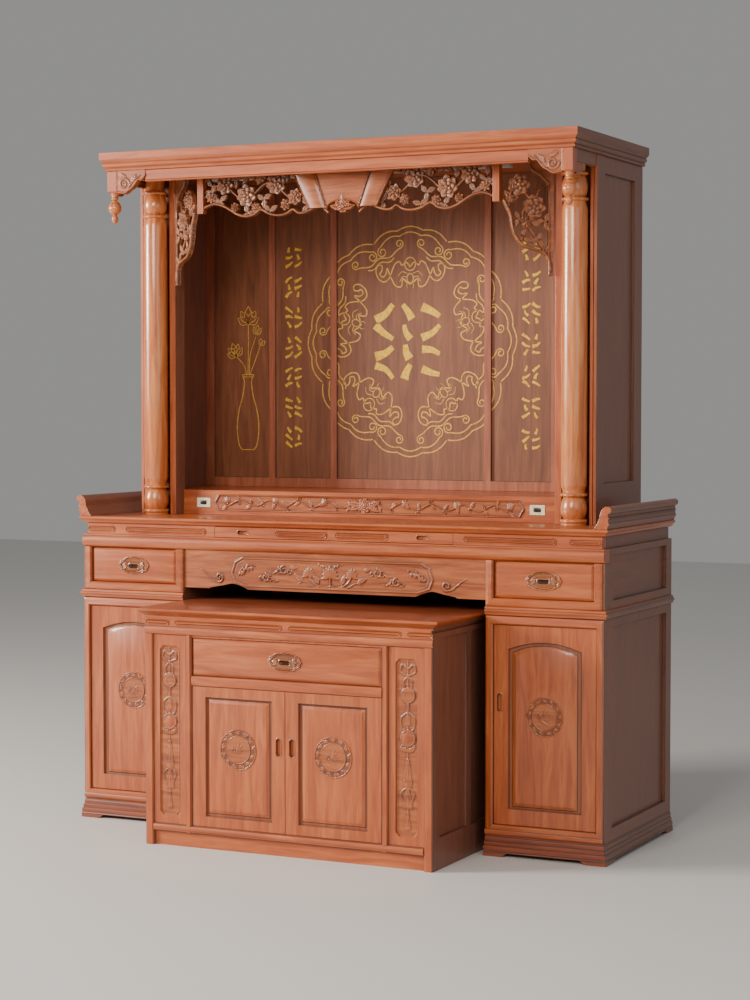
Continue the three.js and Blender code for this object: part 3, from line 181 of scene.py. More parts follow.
def finished(node, material, edge=1.2, sides=None, across=None, press=None):
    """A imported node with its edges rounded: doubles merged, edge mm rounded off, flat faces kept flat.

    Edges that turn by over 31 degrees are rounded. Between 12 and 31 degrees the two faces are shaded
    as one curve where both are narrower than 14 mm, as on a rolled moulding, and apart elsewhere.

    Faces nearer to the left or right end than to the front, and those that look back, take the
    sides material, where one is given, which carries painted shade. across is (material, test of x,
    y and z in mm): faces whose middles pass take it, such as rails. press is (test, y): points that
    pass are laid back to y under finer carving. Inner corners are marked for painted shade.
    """
    mesh = nodes[node].data.copy()
    if press:
        place = np.empty(len(mesh.vertices) * 3)
        mesh.vertices.foreach_get("co", place)
        place = place.reshape(-1, 3)
        x, y, z = place.T * 1000
        place[press[0](np.abs(x), y - FRONT, z), 1] = (press[1] + FRONT) / 1000
        mesh.vertices.foreach_set("co", place.ravel())
    work = bmesh.new()
    work.from_mesh(mesh)
    bmesh.ops.remove_doubles(work, verts=work.verts, dist=2e-5)
    rolled = work.edges.layers.int.new("rolled")
    hard = []
    for seam in work.edges:
        turn = math.degrees(seam.calc_face_angle(0))
        if turn > 31:
            hard.append(seam)
        elif turn > 12:
            longest = [max(side.calc_length() for side in face.edges) for face in seam.link_faces]
            widths = [2 * face.calc_area() / long for face, long in zip(seam.link_faces, longest)]
            seam[rolled] = max(widths) < 0.014
    # Painted shade: faces in inner corners are marked to darken.
    painted_shade = work.faces.layers.float.new("painted_shade")
    corners = bmesh.ops.bevel(
        work, geom=hard, offset=edge / 1000, segments=2, profile=0.5, affect="EDGES", clamp_overlap=False
    )["faces"]
    for face in corners:
        folds = [seam for seam in face.edges if not seam.is_convex and seam.calc_face_angle(0) > 0.2]
        face[painted_shade] = 0.85 if folds else 0.0
    for seam in work.edges:
        turn = math.degrees(seam.calc_face_angle(0))
        seam.smooth = turn < 12 or (seam[rolled] == 1 and turn < 31)
    work.to_mesh(mesh)
    work.free()
    mesh.update()
    piece = link(node + "_finished", mesh, material)
    count = len(mesh.polygons)
    normal, middle = np.empty(count * 3), np.empty(count * 3)
    mesh.polygons.foreach_get("normal", normal)
    mesh.polygons.foreach_get("center", middle)
    normal = normal.reshape(-1, 3)
    x, y, z = middle.reshape(-1, 3).T * 1000
    index = np.zeros(count, dtype=np.int32)
    # Painted shade: faces at the ends and at the back take the darker sides material.
    if sides:
        mesh.materials.append(sides)
        inwards, back = np.abs(x).max() - np.abs(x), y - y.min()
        beside = (inwards < back) & (inwards < 40) & (z < z.max() - 1)
        behind = (normal[:, 1] > 0.7) & (back > 100)
        index[(np.abs(normal[:, 0]) > 0.7) & (back > 14) | beside | behind] = 1
    if across:
        mesh.materials.append(across[0])
        index[across[1](np.abs(x), y - FRONT, z) & (index == 0)] = len(mesh.materials) - 1
    mesh.polygons.foreach_set("material_index", index)
    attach(piece, nodes[node]["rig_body"])
    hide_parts(node)
    return piece


# Feet and the cabinet's top: the same lacquer, darker and redder, as painted shade.
shaded_footing_wood = lacquered_wood("Lacquered hardwood footing in painted shade", ("#70301a", "#863e20", "#98492a"), "x")
SIDES = ("left", "right")
HALVES = tuple(zip(SIDES, (-1, 1)))  # each side with the sign of its x
for side in SIDES:
    # The plinths in the darker tone of painted shade.
    finished(f"plinth_{side}", shaded_footing_wood, 1.5, shaded_side_rail)
    finished(
        f"pedestal_{side}", stile_wood, 1.2, shaded_side_wood,
        (rail_wood, lambda x, y, z: (y < 12) & ((z > 712) | (z < 99))),
    )
    finished(f"waist_{side}", rail_wood, 0.8, shaded_side_rail)
    finished(f"drawer_case_{side}", rail_wood, 1.0, shaded_side_rail)

# Kneehole back and dust board: plain stained boards behind and under everything.
inner_wood = lacquered_wood(
    "Dark stained panelling", ("#66351e", "#7a4426", "#8a5232"), "z",
    rough=0.5, coat=0.1, ring=22, pore=2.2,
)
finished("kneehole_back", inner_wood)
finished("dust_board", inner_wood)


# ---- Pedestal doors
# Each door is one framed panel with an arched, raised field. A round medallion of
# feathery leaves is carved in its middle, and a slot for a fingertip is cut at its edge.


def board_of(u, v, step):
    """An empty carving: a grid of u by v millimetres, its outline distance and its height."""
    across = np.arange(u[0], u[1] + step * 0.5, step)
    up = np.arange(v[0], v[1] + step * 0.5, step)
    grid_u, grid_v = np.meshgrid(across, up)
    return {
        "u": grid_u,
        "v": grid_v,
        "edge": np.full(grid_u.shape, -99.0),
        "lift": np.zeros(grid_u.shape),
        "step": step,
    }


def stamp(board, edge, lift):
    """Adds a shape: the farther of the two outlines counts, and inside it the higher surface."""
    board["lift"] = np.where(edge > 0, np.maximum(board["lift"], lift), board["lift"])
    board["edge"] = np.maximum(board["edge"], edge)


def trim(board, inside):
    """Cuts the carving off where inside falls below nought."""
    board["edge"] = np.minimum(board["edge"], inside)


def dome(share):
    """The height of half a circle at a share of its radius: sqrt(1 - share ** 2), and nought beyond."""
    return np.sqrt((1 - share**2).clip(0, 1))


def oval(at, wide, high, turn):
    """Points on an oval round at: wide * cos(turn) across and high * sin(turn) up."""
    return np.stack([at[0] + wide * np.cos(turn), at[1] + high * np.sin(turn)], axis=-1)


def leaf(board, at, long, wide, turn, rise, bend=0.0):
    """A leaf: half width wide * sin(pi * s ** 0.8) for s from stem to tip, grooved along its middle.

    bend moves the middle line aside by bend * s * s. Slanting veins ripple the surface.
    """
    du, dv = board["u"] - at[0], board["v"] - at[1]
    along = (du * math.cos(turn) + dv * math.sin(turn)) / long
    aside = dv * math.cos(turn) - du * math.sin(turn) - bend * along * along
    s = along.clip(0, 1)
    half = wide * np.sin(math.pi * s**0.8) + 1e-6
    edge = np.where((along > 0) & (along < 1), half - np.abs(aside), -99)
    rounded = np.sqrt((edge / half).clip(0, 1))
    groove = 1 - 0.4 * np.exp(-((aside / (0.1 * wide + 0.6)) ** 2))
    veins = 0.1 * np.sin((along * long - np.abs(aside) * 1.4) * 6.28 / (0.16 * long + 2))
    stamp(board, edge, rise * (0.5 + 0.5 * rounded) * (groove + veins))


def stem(board, points, half, rise, taper=0.0):
    """A round cord along points: half width less the distance to the nearest stretch, a half circle across.

    taper is the share of the width that it loses from its first point to its last.
    """
    points = np.asarray(points, dtype=float)
    count = len(points) - 1
    for k, (a, b) in enumerate(zip(points[:-1], points[1:])):
        run = b - a
        du, dv = board["u"] - a[0], board["v"] - a[1]
        t = ((du * run[0] + dv * run[1]) / max(run @ run, 1e-9)).clip(0, 1)
        away = np.hypot(du - t * run[0], dv - t * run[1])
        width = half * (1 - taper * (k + t) / count)
        edge = width - away
        stamp(board, edge, rise * dome(away / width))


def curl(at, size, turns, start, way):
    """Points of a scroll that winds inwards: the radius falls evenly to a fifth of its size."""
    t = np.linspace(0, 1, max(8, int(turns * 18)))
    angle = start + way * turns * 2 * math.pi * t
    radius = size * (1 - 0.8 * t)
    return oval(at, radius, radius, angle)


def carved(name, board, place, back, material, body, replaced=(), deep=0.0, soft=1.5):
    """The carving as a closed mesh: its cells inside the outline, the same cells flat behind, and walls.

    Points on the outline slide along the outline distance's slope until it is nought, which
    smooths the steps of the grid. The painted shade is how far a point lies below the mean round
    it: it reaches 1 at soft mm, and ground lower than deep mm is shaded too. place turns u, v
    and the height in millimetres into metres, and back is the board's thickness.
    """
    u, v, edge, lift = (board[key].copy() for key in ("u", "v", "edge", "lift"))
    centre = (edge[:-1, :-1] + edge[1:, :-1] + edge[:-1, 1:] + edge[1:, 1:]) / 4
    kept = centre > 0
    for _ in range(3):
        crossed = kept[:-1, :-1] & kept[1:, 1:] & ~kept[1:, :-1] & ~kept[:-1, 1:]
        kept[1:, :-1] |= crossed
        crossed = kept[1:, :-1] & kept[:-1, 1:] & ~kept[:-1, :-1] & ~kept[1:, 1:]
        kept[:-1, :-1] |= crossed
    framed = np.pad(kept, 1)
    touching = sum(framed[i : i + u.shape[0], j : j + u.shape[1]].astype(int) for i in (0, 1) for j in (0, 1))
    rim = (touching > 0) & (touching < 4)
    slope_v, slope_u = np.gradient(edge, board["step"])
    steep = slope_u**2 + slope_v**2 + 1e-6
    reach = board["step"] * 0.7
    slide = np.where(rim & (np.abs(edge) < 3 * board["step"]), edge / steep, 0)
    u -= (slide * slope_u).clip(-reach, reach)
    v -= (slide * slope_v).clip(-reach, reach)
    mean = lift.copy()
    for _ in range(10):
        padded = np.pad(mean, 1, mode="edge")
        mean = (padded[:-2, 1:-1] + padded[2:, 1:-1] + padded[1:-1, :-2] + padded[1:-1, 2:]) / 4
    # Painted shade: how far each point lies below its neighbours, and how low it lies.
    painted_shade = ((mean - lift) / soft).clip(0, 1)
    if deep:
        painted_shade = np.maximum(painted_shade, 0.8 * (1 - lift / deep)).clip(0, 1)
    number = np.full(u.shape, -1)
    used = touching > 0
    count = int(used.sum())
    number[used] = np.arange(count)
    a, b = number[:-1, :-1][kept], number[:-1, 1:][kept]
    c, d = number[1:, 1:][kept], number[1:, :-1][kept]
    walls = []
    for first, second, beside in (
        (number[:-1, :-1], number[:-1, 1:], framed[:-2, 1:-1]),
        (number[:-1, 1:], number[1:, 1:], framed[1:-1, 2:]),
        (number[1:, 1:], number[1:, :-1], framed[2:, 1:-1]),
        (number[1:, :-1], number[:-1, :-1], framed[1:-1, :-2]),
    ):
        open_side = kept & ~beside
        p, q = first[open_side], second[open_side]
        walls.append(np.stack([q, p, p + count, q + count], axis=1))
    faces = np.vstack([
        np.stack([a, b, c, d], axis=1),
        np.stack([d, c, b, a], axis=1) + count,
        *walls,
    ])
    front = place(u[used], v[used], lift[used])
    behind = place(u[used], v[used], np.full(count, -float(back)))
    mesh = bpy.data.meshes.new(name)
    mesh.from_pydata(np.vstack([front, behind]).tolist(), [], faces.tolist())
    mesh.update()
    # The painted shade is stored on the points, where the material reads it.
    depth = mesh.attributes.new("painted_shade", "FLOAT", "POINT")
    depth.data.foreach_set("value", np.concatenate([painted_shade[used], np.zeros(count)]).astype(np.float32))
    piece = link(name, mesh, material)
    mesh.set_sharp_from_angle(angle=math.radians(50))
    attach(piece, body)
    if replaced:
        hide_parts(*replaced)
    return piece


def upright_at(y):
    """A place on an upright board that faces the front: u along x, v up, and the height towards -y."""
    return lambda u, v, w: np.stack([u, y - w + FRONT, v], axis=1) / 1000


# Carved parts: a thinner coat, so that only their crests glint, and a finer grain.
carved_wood = lacquered_wood(
    "Carved hardwood", ("#7e3a1a", "#a05226", "#b86632"), "x",
    rough=0.4, coat=0.3, ring=18, pore=1.4,
)


def medallion(name, at, radius, face, body):
    """A round carving: a band of curling leaves between two rings, darkened by painted shade, round a spray
    of feathers.
    """
    board = board_of((at[0] - radius - 1, at[0] + radius + 1), (at[1] - radius - 1, at[1] + radius + 1), 1.3)
    away = np.hypot(board["u"] - at[0], board["v"] - at[1])
    stamp(board, radius - away, 0.3)
    stamp(board, radius * 0.66 - away, 1.5)
    for ring, half, rise in ((radius - 2, 2.0, 2.2), (radius * 0.66, 1.5, 2.6)):
        stamp(board, half - np.abs(away - ring), rise * dome((away - ring) / half))
    for k in range(13):
        angle = k * 2 * math.pi / 13
        out = np.array([math.cos(angle), math.sin(angle)])
        leaf(board, at + out * radius * 0.74, radius * 0.3, radius * 0.07, angle + 0.9, 2.4, 2.5)
        stem(board, curl(at + out * radius * 0.87, radius * 0.07, 1.0, angle, 1), 1.3, 2.2, 0.4)
    for k in range(6):
        foot = at + np.array([-0.3 + 0.06 * k, -0.1 + 0.02 * k]) * radius
        leaf(board, foot, radius * (0.62 - 0.04 * k), 3.6, -0.55 + 0.42 * k, 3.4, 5 * math.sin(2 * k))
    stem(board, curl(at + np.array([-0.26, -0.02]) * radius, radius * 0.13, 1.2, 2.0, -1), 1.8, 3.6, 0.4)
    trim(board, radius - away)
    # Painted shade darkens the low ground of the band and the recesses round the leaves.
    carved(name, board, upright_at(face), 0.4, carved_wood, body, deep=0.9)


# The pulls and the lips of the slots: handled and polished, so darker and glossier.
PULL_TONES = ("#7e4020", "#a45a2e", "#bc7442")
pull_wood = lacquered_wood("Polished carved pull", PULL_TONES, "x", rough=0.25, coat=0.6)


def slot_rim(name, at, half_long, half_wide, face, body, lying=False):
    """A raised lip round a finger slot: its height is a half circle across the distance from the slot."""
    reach = half_long + half_wide + 6
    board = board_of((at[0] - reach, at[0] + reach), (at[1] - reach, at[1] + reach), 1)
    du, dv = board["u"] - at[0], board["v"] - at[1]
    along, aside = (du, dv) if lying else (dv, du)
    away = np.hypot((np.abs(along) - half_long + half_wide).clip(0, None), aside) - half_wide
    lip = 1.6
    edge = lip - np.abs(away - 1.2)
    stamp(board, edge, 1.5 * dome((away - 1.2) / lip))
    carved(name, board, upright_at(face), 1.0, pull_wood, body)


DOOR_DISC = (728, 436)  # the middle of a door's medallion
# The rebates round the fields of the doors, in a darker tone of painted shade.
rebate_shade_wood = lacquered_wood("Hardwood in the rebates, in painted shade", ("#6c3014", "#80401e", "#905028"), "z")
for side, way in HALVES:
    laid_back = (lambda x, y, z: (np.hypot(x - DOOR_DISC[0], z - DOOR_DISC[1]) < 62) & (y < 0.9), 1.0)
    # Painted shade on the rebate round the door's field.
    sunk = (rebate_shade_wood, lambda x, y, z: (y > 5) & (y < 8))
    finished(f"door_{side}", stile_wood, 1.2, across=sunk, press=laid_back)
    slot_rim(f"door_slot_{side}", (way * 581, 473), 28, 9, 0, f"door_{side}")
    at = (way * DOOR_DISC[0], DOOR_DISC[1])
    medallion(f"door_medallion_{side}", at, 61, 1, f"door_{side}")


# ---- Drawers and their pulls
# Bevelled drawer fronts of the same wood. An oval plate with a pierced rim is let into the
# middle of each, hollowed under a lip for the fingertips.


def facing(turn, way):
    """The angle itself on the right half, where way is 1, and its mirror image on the left one."""
    return turn if way > 0 else math.pi - turn


def pull(name, at, face, body):
    """An oval plate: a lobed rim, a raised line inside it, three-leaved ends and a round-ended finger slot.
    """
    half_u, half_v = 59.0, 30.0
    board = board_of((at[0] - 62, at[0] + 62), (at[1] - 33, at[1] + 33), 1.3)
    du, dv = board["u"] - at[0], board["v"] - at[1]
    angle = np.arctan2(dv / half_v, du / half_u)
    lobes = 1 - 0.045 * (1 - np.abs(np.cos(6 * angle)))
    oval = np.hypot(du / half_u, dv / half_v) / lobes
    edge = (1 - oval) * half_v
    stamp(board, edge, 1.2)
    stamp(board, 3.6 - np.abs(edge - 1.8) * 2, 3.8 * dome((edge - 1.8) / 2.2))
    inner = np.abs(np.hypot(du / (half_u * 0.84), dv / (half_v * 0.78)) - 1) * half_v
    stamp(board, 1.6 - inner, 4.6 * dome(inner / 1.6))
    for way in (-1, 1):
        for turn in (-0.7, 0, 0.7):
            leaf(board, (at[0] + way * 25, at[1]), 19, 4.5, facing(turn, way), 4.6)
    slot = 7 - np.hypot((np.abs(du) - 13).clip(0, None), dv + 3)
    lip = np.exp(-(((slot + 1) / 1.6) ** 2)) * 1.8
    board["lift"] = np.where(slot > 0, 3.2 - 7.4 * (slot / 7).clip(0, 1) ** 0.5, board["lift"] + lip)
    trim(board, edge + 0.3)
    # Painted shade darkens the plate's low ground and its slot.
    carved(name, board, upright_at(face), 5.4, pull_wood, body, deep=2.6)


PULL_X, PULL_Z = 724.5, 850
laid_back = (lambda x, y, z: (np.abs(x - PULL_X) < 62) & (np.abs(z - PULL_Z) < 34) & (y < -2.5), -2.0)
for side, way in HALVES:
    finished(f"drawer_{side}", rail_wood, 1.4, press=laid_back)
    pull(f"drawer_pull_{side}", (way * PULL_X, PULL_Z), -2, f"drawer_{side}")


# ---- Front rail, pull-out board and apron
# A rounded rail crosses the table under a frieze of reeded panels, and the frieze's middle
# is the front of a pull-out board. A carved apron with two low arches hangs below.

laid_back = (lambda x, y, z: (z > 952) & (y < 7.5), 8.0)
finished("front_rail", rail_wood, 1.0, press=laid_back)
finished("pullout_board", rail_wood, 1.0, press=laid_back)


def reeds(name, x, z, half, face, body):
    """A reeded panel: a raised lip along a round-ended outline, and a cord that follows it inside.

    The height is a cosine of the distance inwards from the outline, with crests every 5.6 mm.
    """
    middle, reach = (x[0] + x[1]) / 2, (x[1] - x[0]) / 2
    board = board_of((x[0] - 2, x[1] + 2), (z - half - 2, z + half + 2), 1.4)
    along = (np.abs(board["u"] - middle) - reach + half).clip(0, None)
    inwards = half - np.hypot(along, board["v"] - z)
    stamp(board, inwards, 0.3 + 1.4 * (1 + np.cos((inwards - 1.2) * 2 * math.pi / 5.6)))
    # Painted shade darkens the troughs between the reeds.
    carved(name, board, upright_at(face), 0.8, rail_wood, body, deep=1.7)


def mirrored(span, way):
    """The span itself on the right half, where way is 1, and its mirror image on the left one."""
    return span if way > 0 else (-span[1], -span[0])


REED_Z, REED_HALF, REED_FACE = 968.0, 11.0, 8.0
for side, way in HALVES:
    for label, ends, body in (
        ("inner", (14, 200), "pullout_board"),
        ("outer", (456, 761), "frame"),
        ("corner", (803, 908), "frame"),
    ):
        reeds(f"reeds_{label}_{side}", mirrored(ends, way), REED_Z, REED_HALF, REED_FACE, body)
    slot_rim(f"board_slot_{side}", (way * 318, REED_Z), 20, 7, REED_FACE, "pullout_board", lying=True)

APRON_HALF, APRON_FOOT, APRON_TOP = 533.5, 786.0, 908.0


def smooth(points, count=8):
    """A flowing line through points: between two of them a cubic whose ends lean along their neighbours."""
    p = np.asarray(points, dtype=float)
    p = np.vstack([2 * p[0] - p[1], p, 2 * p[-1] - p[-2]])
    t = np.linspace(0, 1, count, endpoint=False)[None, :, None]
    a, b, c, d = (p[i : len(p) - 3 + i, None, :] for i in range(4))
    line = 0.5 * (2 * b + (c - a) * t + (2 * a - 5 * b + 4 * c - d) * t**2 + (3 * b - 3 * c + d - a) * t**3)
    return np.vstack([line.reshape(-1, 2), p[-2]])


def cloud(board, at, size, rise, way=1):
    """A cloud scroll: a large curl, a smaller one to each side, and a trailing tail."""
    u, v = at
    stem(board, curl((u, v), size, 1.3, math.pi * 0.5, -way), size * 0.2, rise, 0.4)
    ahead = (u + way * size * 1.25, v - size * 0.2)
    stem(board, curl(ahead, size * 0.7, 1.2, math.pi * 0.5, way), size * 0.18, rise, 0.4)
    astern = (u - way * size * 1.2, v - size * 0.3)
    stem(board, curl(astern, size * 0.6, 1.1, 0, way), size * 0.17, rise, 0.4)
    tail = [(u + way * size * out, v - size * down) for out, down in ((1.8, 0.3), (2.6, 0.8), (3.4, 0.5))]
    stem(board, smooth(tail), size * 0.16, rise * 0.9, 0.7)


def bat(board, at, size, rise, turn=0.0):
    """A bat seen from above: scalloped wings of three lobes on each side of a slim body."""
    spin = np.array([[math.cos(turn), math.sin(turn)], [-math.sin(turn), math.cos(turn)]])
    for way in (-1, 1):
        arm = smooth(np.array([[0, 0.2], [way * 0.45, 0.62], [way * 1.0, 0.35], [way * 1.45, 0.05]])) * size
        stem(board, arm @ spin + at, size * 0.13, rise, 0.5)
        for k, angle in enumerate((-1.9, -1.45, -1.0)):
            root = np.array([way * (0.25 + 0.32 * k), 0.42 - 0.12 * k]) * size @ spin + at
            direction = facing(angle, way)
            leaf(board, root, size * (0.95 - 0.16 * k), size * 0.2, direction - turn, rise * 0.85)
    head = np.array([0, 0.5]) * size @ spin + at
    leaf(board, head, size * 1.3, size * 0.2, -math.pi / 2 - turn, rise * 1.2)
    for way in (-1, 1):
        ear = np.array([way * 0.12, 0.42]) * size @ spin + at
        stem(board, curl(ear, size * 0.16, 0.8, 0, way), size * 0.06, rise)


def lotus(board, at, size, rise):
    """An opened lotus seen from the side: seven pointed petals in a fan over a row of low ones."""
    for turn in (-1.25, 1.25, -0.85, 0.85, -0.42, 0.42, 0):
        long = size * (1.0 - 0.18 * abs(turn))
        leaf(board, at, long, size * 0.23, math.pi / 2 - turn, rise * (1.0 - 0.25 * abs(turn)))
    for way in (-1, 1):
        leaf(board, at, size * 0.9, size * 0.14, math.pi / 2 - way * 1.75, rise * 0.6)


def apron(side, way):
    """One half of the apron: a plain board with its carving inside a raised border with shaped ends."""
    board = board_of(mirrored((0.0, APRON_HALF), way), (APRON_FOOT, APRON_TOP + 0.1), 1.9)
    x = np.abs(board["u"])
    arch = smooth([(298, 787), (326, 798), (355, 804), (392, 797), (437, 789)])
    low = np.interp(x, arch[:, 0], arch[:, 1], left=APRON_FOOT, right=APRON_FOOT)
    low = np.where((x > 298) & (x < 437), low, APRON_FOOT)
    stamp(board, np.maximum(board["v"] - low, 0.001) + 0.6 * board["step"], 0.0)
    outline = [(0, 887), (316, 887), (343, 872), (355, 838), (344, 810), (303, 797), (0, 797)]
    stem(board, np.array(outline) * (way, 1), 3.4, 4.4)
    fillet = [(0, 879), (311, 879), (334, 866), (344, 838), (334, 816), (300, 805)]
    stem(board, np.array(fillet) * (way, 1), 1.2, 2.0)
    cloud(board, (way * 165, 852), 15, 5.0, way)
    cloud(board, (way * 232, 826), 14, 5.0, -way)
    bat(board, (way * 300, 846), 23, 5.6, -0.5 * way)
    lotus(board, (way * 76, 838), 27, 6.0)
    stem(board, smooth([(0, 806), (way * 28, 801), (way * 62, 818), (way * 76, 840)]), 3.0, 4.6)
    stem(board, smooth([(way * 30, 803), (way * 60, 803), (way * 92, 818), (way * 112, 812)]), 2.4, 4.0, 0.6)
    leaf(board, (way * 40, 812), 34, 8, facing(1.1, way), 5.0, 4)
    leaf(board, (way * 96, 820), 38, 8, facing(0.5, way), 5.0, -4)
    leaf(board, (way * 118, 860), 26, 6, facing(0.2, way), 4.4)
    lotus(board, (0, 836), 38, 7.0)
    stem(board, [(0, 800), (0, 840)], 3.4, 5.0)
    for k in range(3):
        stem(board, curl((way * (20 + 10 * k), 866 + 5 * k), 6 - k, 1, 0, way), 1.6, 4.0, 0.3)
    stem(board, curl((way * 403, 822), 15, 1.3, -math.pi / 2, -way), 4.0, 6.0, 0.5)
    stem(board, smooth([(403, 807), (424, 812), (448, 832), (470, 846)]) * (way, 1), 3.2, 5.0, 0.8)
    board["lift"] *= 0.62
    inside = np.minimum(board["v"] - low, APRON_TOP - board["v"] + board["step"])
    board["edge"] = np.where(x > APRON_HALF + 1, -9, np.minimum(board["edge"], inside + 0.5 * board["step"]))
    name = f"apron_{side}"
    replaced = ("apron",) if way < 0 else ()
    carved(name, board, upright_at(4), 20, carved_wood, "frame", replaced)


for side, way in HALVES:
    apron(side, way)


# ---- Table top and gallery ends
# One broad polished board with a moulded edge. At each end stands a low scrolled rail that
# curls outwards at its top, with two beads run along its outer side.

finished("table_top", rail_wood, 1.0)
# The same lacquer, with the grain running from front to back.
end_wood = lacquered_wood("Lacquered hardwood lengthwise", FRONT_TONES, "y")
for side in SIDES:
    finished(f"gallery_{side}", end_wood, 0.9, shaded_side_rail)


# ---- Shrine walls
# A framed back wall and two side walls of dark stained panels. Ornament is let into the
# panels in gold line: a ring of clouds with bats, two columns of strokes, two vases of lotus.

for side in SIDES:
    finished(f"shrine_side_{side}", shaded_side_wood)
# The stiles of the back wall, a little lighter than its panels.
trim_wood = lacquered_wood("Panelling stile", ("#86422a", "#9c5436", "#ac6444"), "z", rough=0.45, coat=0.15)
finished("shrine_back", inner_wood, 0.8, across=(trim_wood, lambda x, y, z: y < 597))

WALL = 600.0  # the face of the back wall's panels


def clouded(name, stops, scale, detail, rough, metallic=0.0):
    """A smooth finish whose colour drifts between its stops, by noise with scale waves to the metre."""
    made = bpy.data.materials.new(name)
    made.use_nodes = True
    tree = made.node_tree
    shader = tree.nodes["Principled BSDF"]
    where = add(tree, "ShaderNodeTexCoord").outputs["Object"]
    noise = {"Vector": where, "Scale": scale, "Detail": detail}
    drift = add(tree, "ShaderNodeTexNoise", noise).outputs["Fac"]
    tint = add(tree, "ShaderNodeValToRGB", {"Fac": drift}, stops).outputs["Color"]
    tree.links.new(tint, shader.inputs["Base Color"])
    shader.inputs["Metallic"].default_value = metallic
    shader.inputs["Roughness"].default_value = rough
    return made


# Leaf laid in size: a soft metal, deeper in colour where the leaf is thinner.
LINE_STOPS = ((0.3, "#b07c2c"), (0.5, "#d8a44a"), (0.75, "#e4b65c"))
BRUSH_STOPS = ((0.3, "#c08a20"), (0.5, "#e0ae30"), (0.75, "#f0c244"))
gold_line = clouded("Gold leaf line", LINE_STOPS, 160.0, 4.0, 0.4, 0.3)
gold_brush = clouded("Gold leaf brushwork", BRUSH_STOPS, 160.0, 4.0, 0.4, 0.3)


def inlay(name, strokes, gold=gold_line, proud=0.7):
    """Gold lines on the back wall: each stroke is (points, width), or (points, width, taper).

    A stroke's two edges lie half its width to each side of its points, square to its run, and
    its four-sided section is closed at both ends. taper thins it evenly towards its end.
    """
    corners, faces, base = [], [], 0
    for points, width, *rest in strokes:
        p = np.asarray(points, dtype=float)
        run = np.gradient(p, axis=0)
        run /= np.linalg.norm(run, axis=1, keepdims=True) + 1e-9
        aside = np.stack([-run[:, 1], run[:, 0]], axis=1)
        share = 1 - (rest[0] if rest else 0.0) * np.linspace(0, 1, len(p))
        half = (width / 2 * share)[:, None]
        for edge, y in ((-half, -proud), (half, -proud), (half, 0.4), (-half, 0.4)):
            xz = p + aside * edge
            corners.append(np.stack([xz[:, 0], np.full(len(p), WALL + y + FRONT), xz[:, 1]], axis=1))
        n = len(p)
        k = np.arange(n - 1)
        for side in range(4):
            a, b = base + side * n, base + (side + 1) % 4 * n
            faces.append(np.stack([a + k, b + k, b + k + 1, a + k + 1], axis=1))
        start = base + np.arange(4) * n
        faces.append(start[::-1][None, :])
        faces.append((start + n - 1)[None, :])
        base += 4 * n
    mesh = bpy.data.meshes.new(name)
    mesh.from_pydata((np.vstack(corners) / 1000).tolist(), [], np.vstack(faces).tolist())
    work = bmesh.new()
    work.from_mesh(mesh)
    bmesh.ops.recalc_face_normals(work, faces=work.faces)
    work.to_mesh(mesh)
    work.free()
    piece = link(name, mesh, gold)
    mesh.set_sharp_from_angle(angle=math.radians(40))
    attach(piece, "frame")
    return piece


RING = (0.0, 1592.0)  # the cloud ring's centre


def around(radius, angle):
    """Points on a circle of that radius round the ring's centre."""
    return oval(RING, radius, radius, angle)


def wound(line, size, middle, turns=1.1):
    """A line wound up at both ends: it circles towards middle(end) while its radius shrinks to a third."""
    pieces = [line]
    for end in (-1, 1):
        tip = line[-1 if end > 0 else 0]
        centre = tip + middle(end) * size
        start = math.atan2(*(tip - centre)[::-1])
        run = (line[-1] - line[-2]) if end > 0 else (line[0] - line[1])
        side = np.sign((tip - centre)[0] * run[1] - (tip - centre)[1] * run[0])
        t = np.linspace(0.06, 1, 16)
        swing, radius = start + side * turns * 2 * math.pi * t, size * (1 - 0.68 * t)
        winding = oval(centre, radius, radius, swing)
        pieces = [*pieces, winding] if end > 0 else [winding[::-1], *pieces]
    return np.vstack(pieces)


ring_strokes = []
for k in range(8):
    middle = math.pi / 2 + k * math.pi / 4
    t = np.linspace(-1, 1, 46)
    scallop = 9 * np.abs(np.cos(1.5 * math.pi * t)) - 20 * t * t
    inner = around(361 + scallop, middle + 0.33 * t)
    gap = middle + math.pi / 8
    wave = 6 * np.cos(2 * math.pi * t) + 12 * t * t
    low = around(300 + wave, gap + 0.27 * t)
    ring_strokes += [
        (around(380 + scallop, middle + 0.385 * t), 4.2),
        (wound(inner, 19, lambda end: RING - around(1, middle + 0.33 * end), 1.35), 4.0),
        (wound(low, 16, lambda end: around(1, gap + 0.27 * end) - RING, 1.3), 4.0),
        (around(285 + wave[6:-6], gap + 0.25 * t[6:-6]), 3.8),
    ]

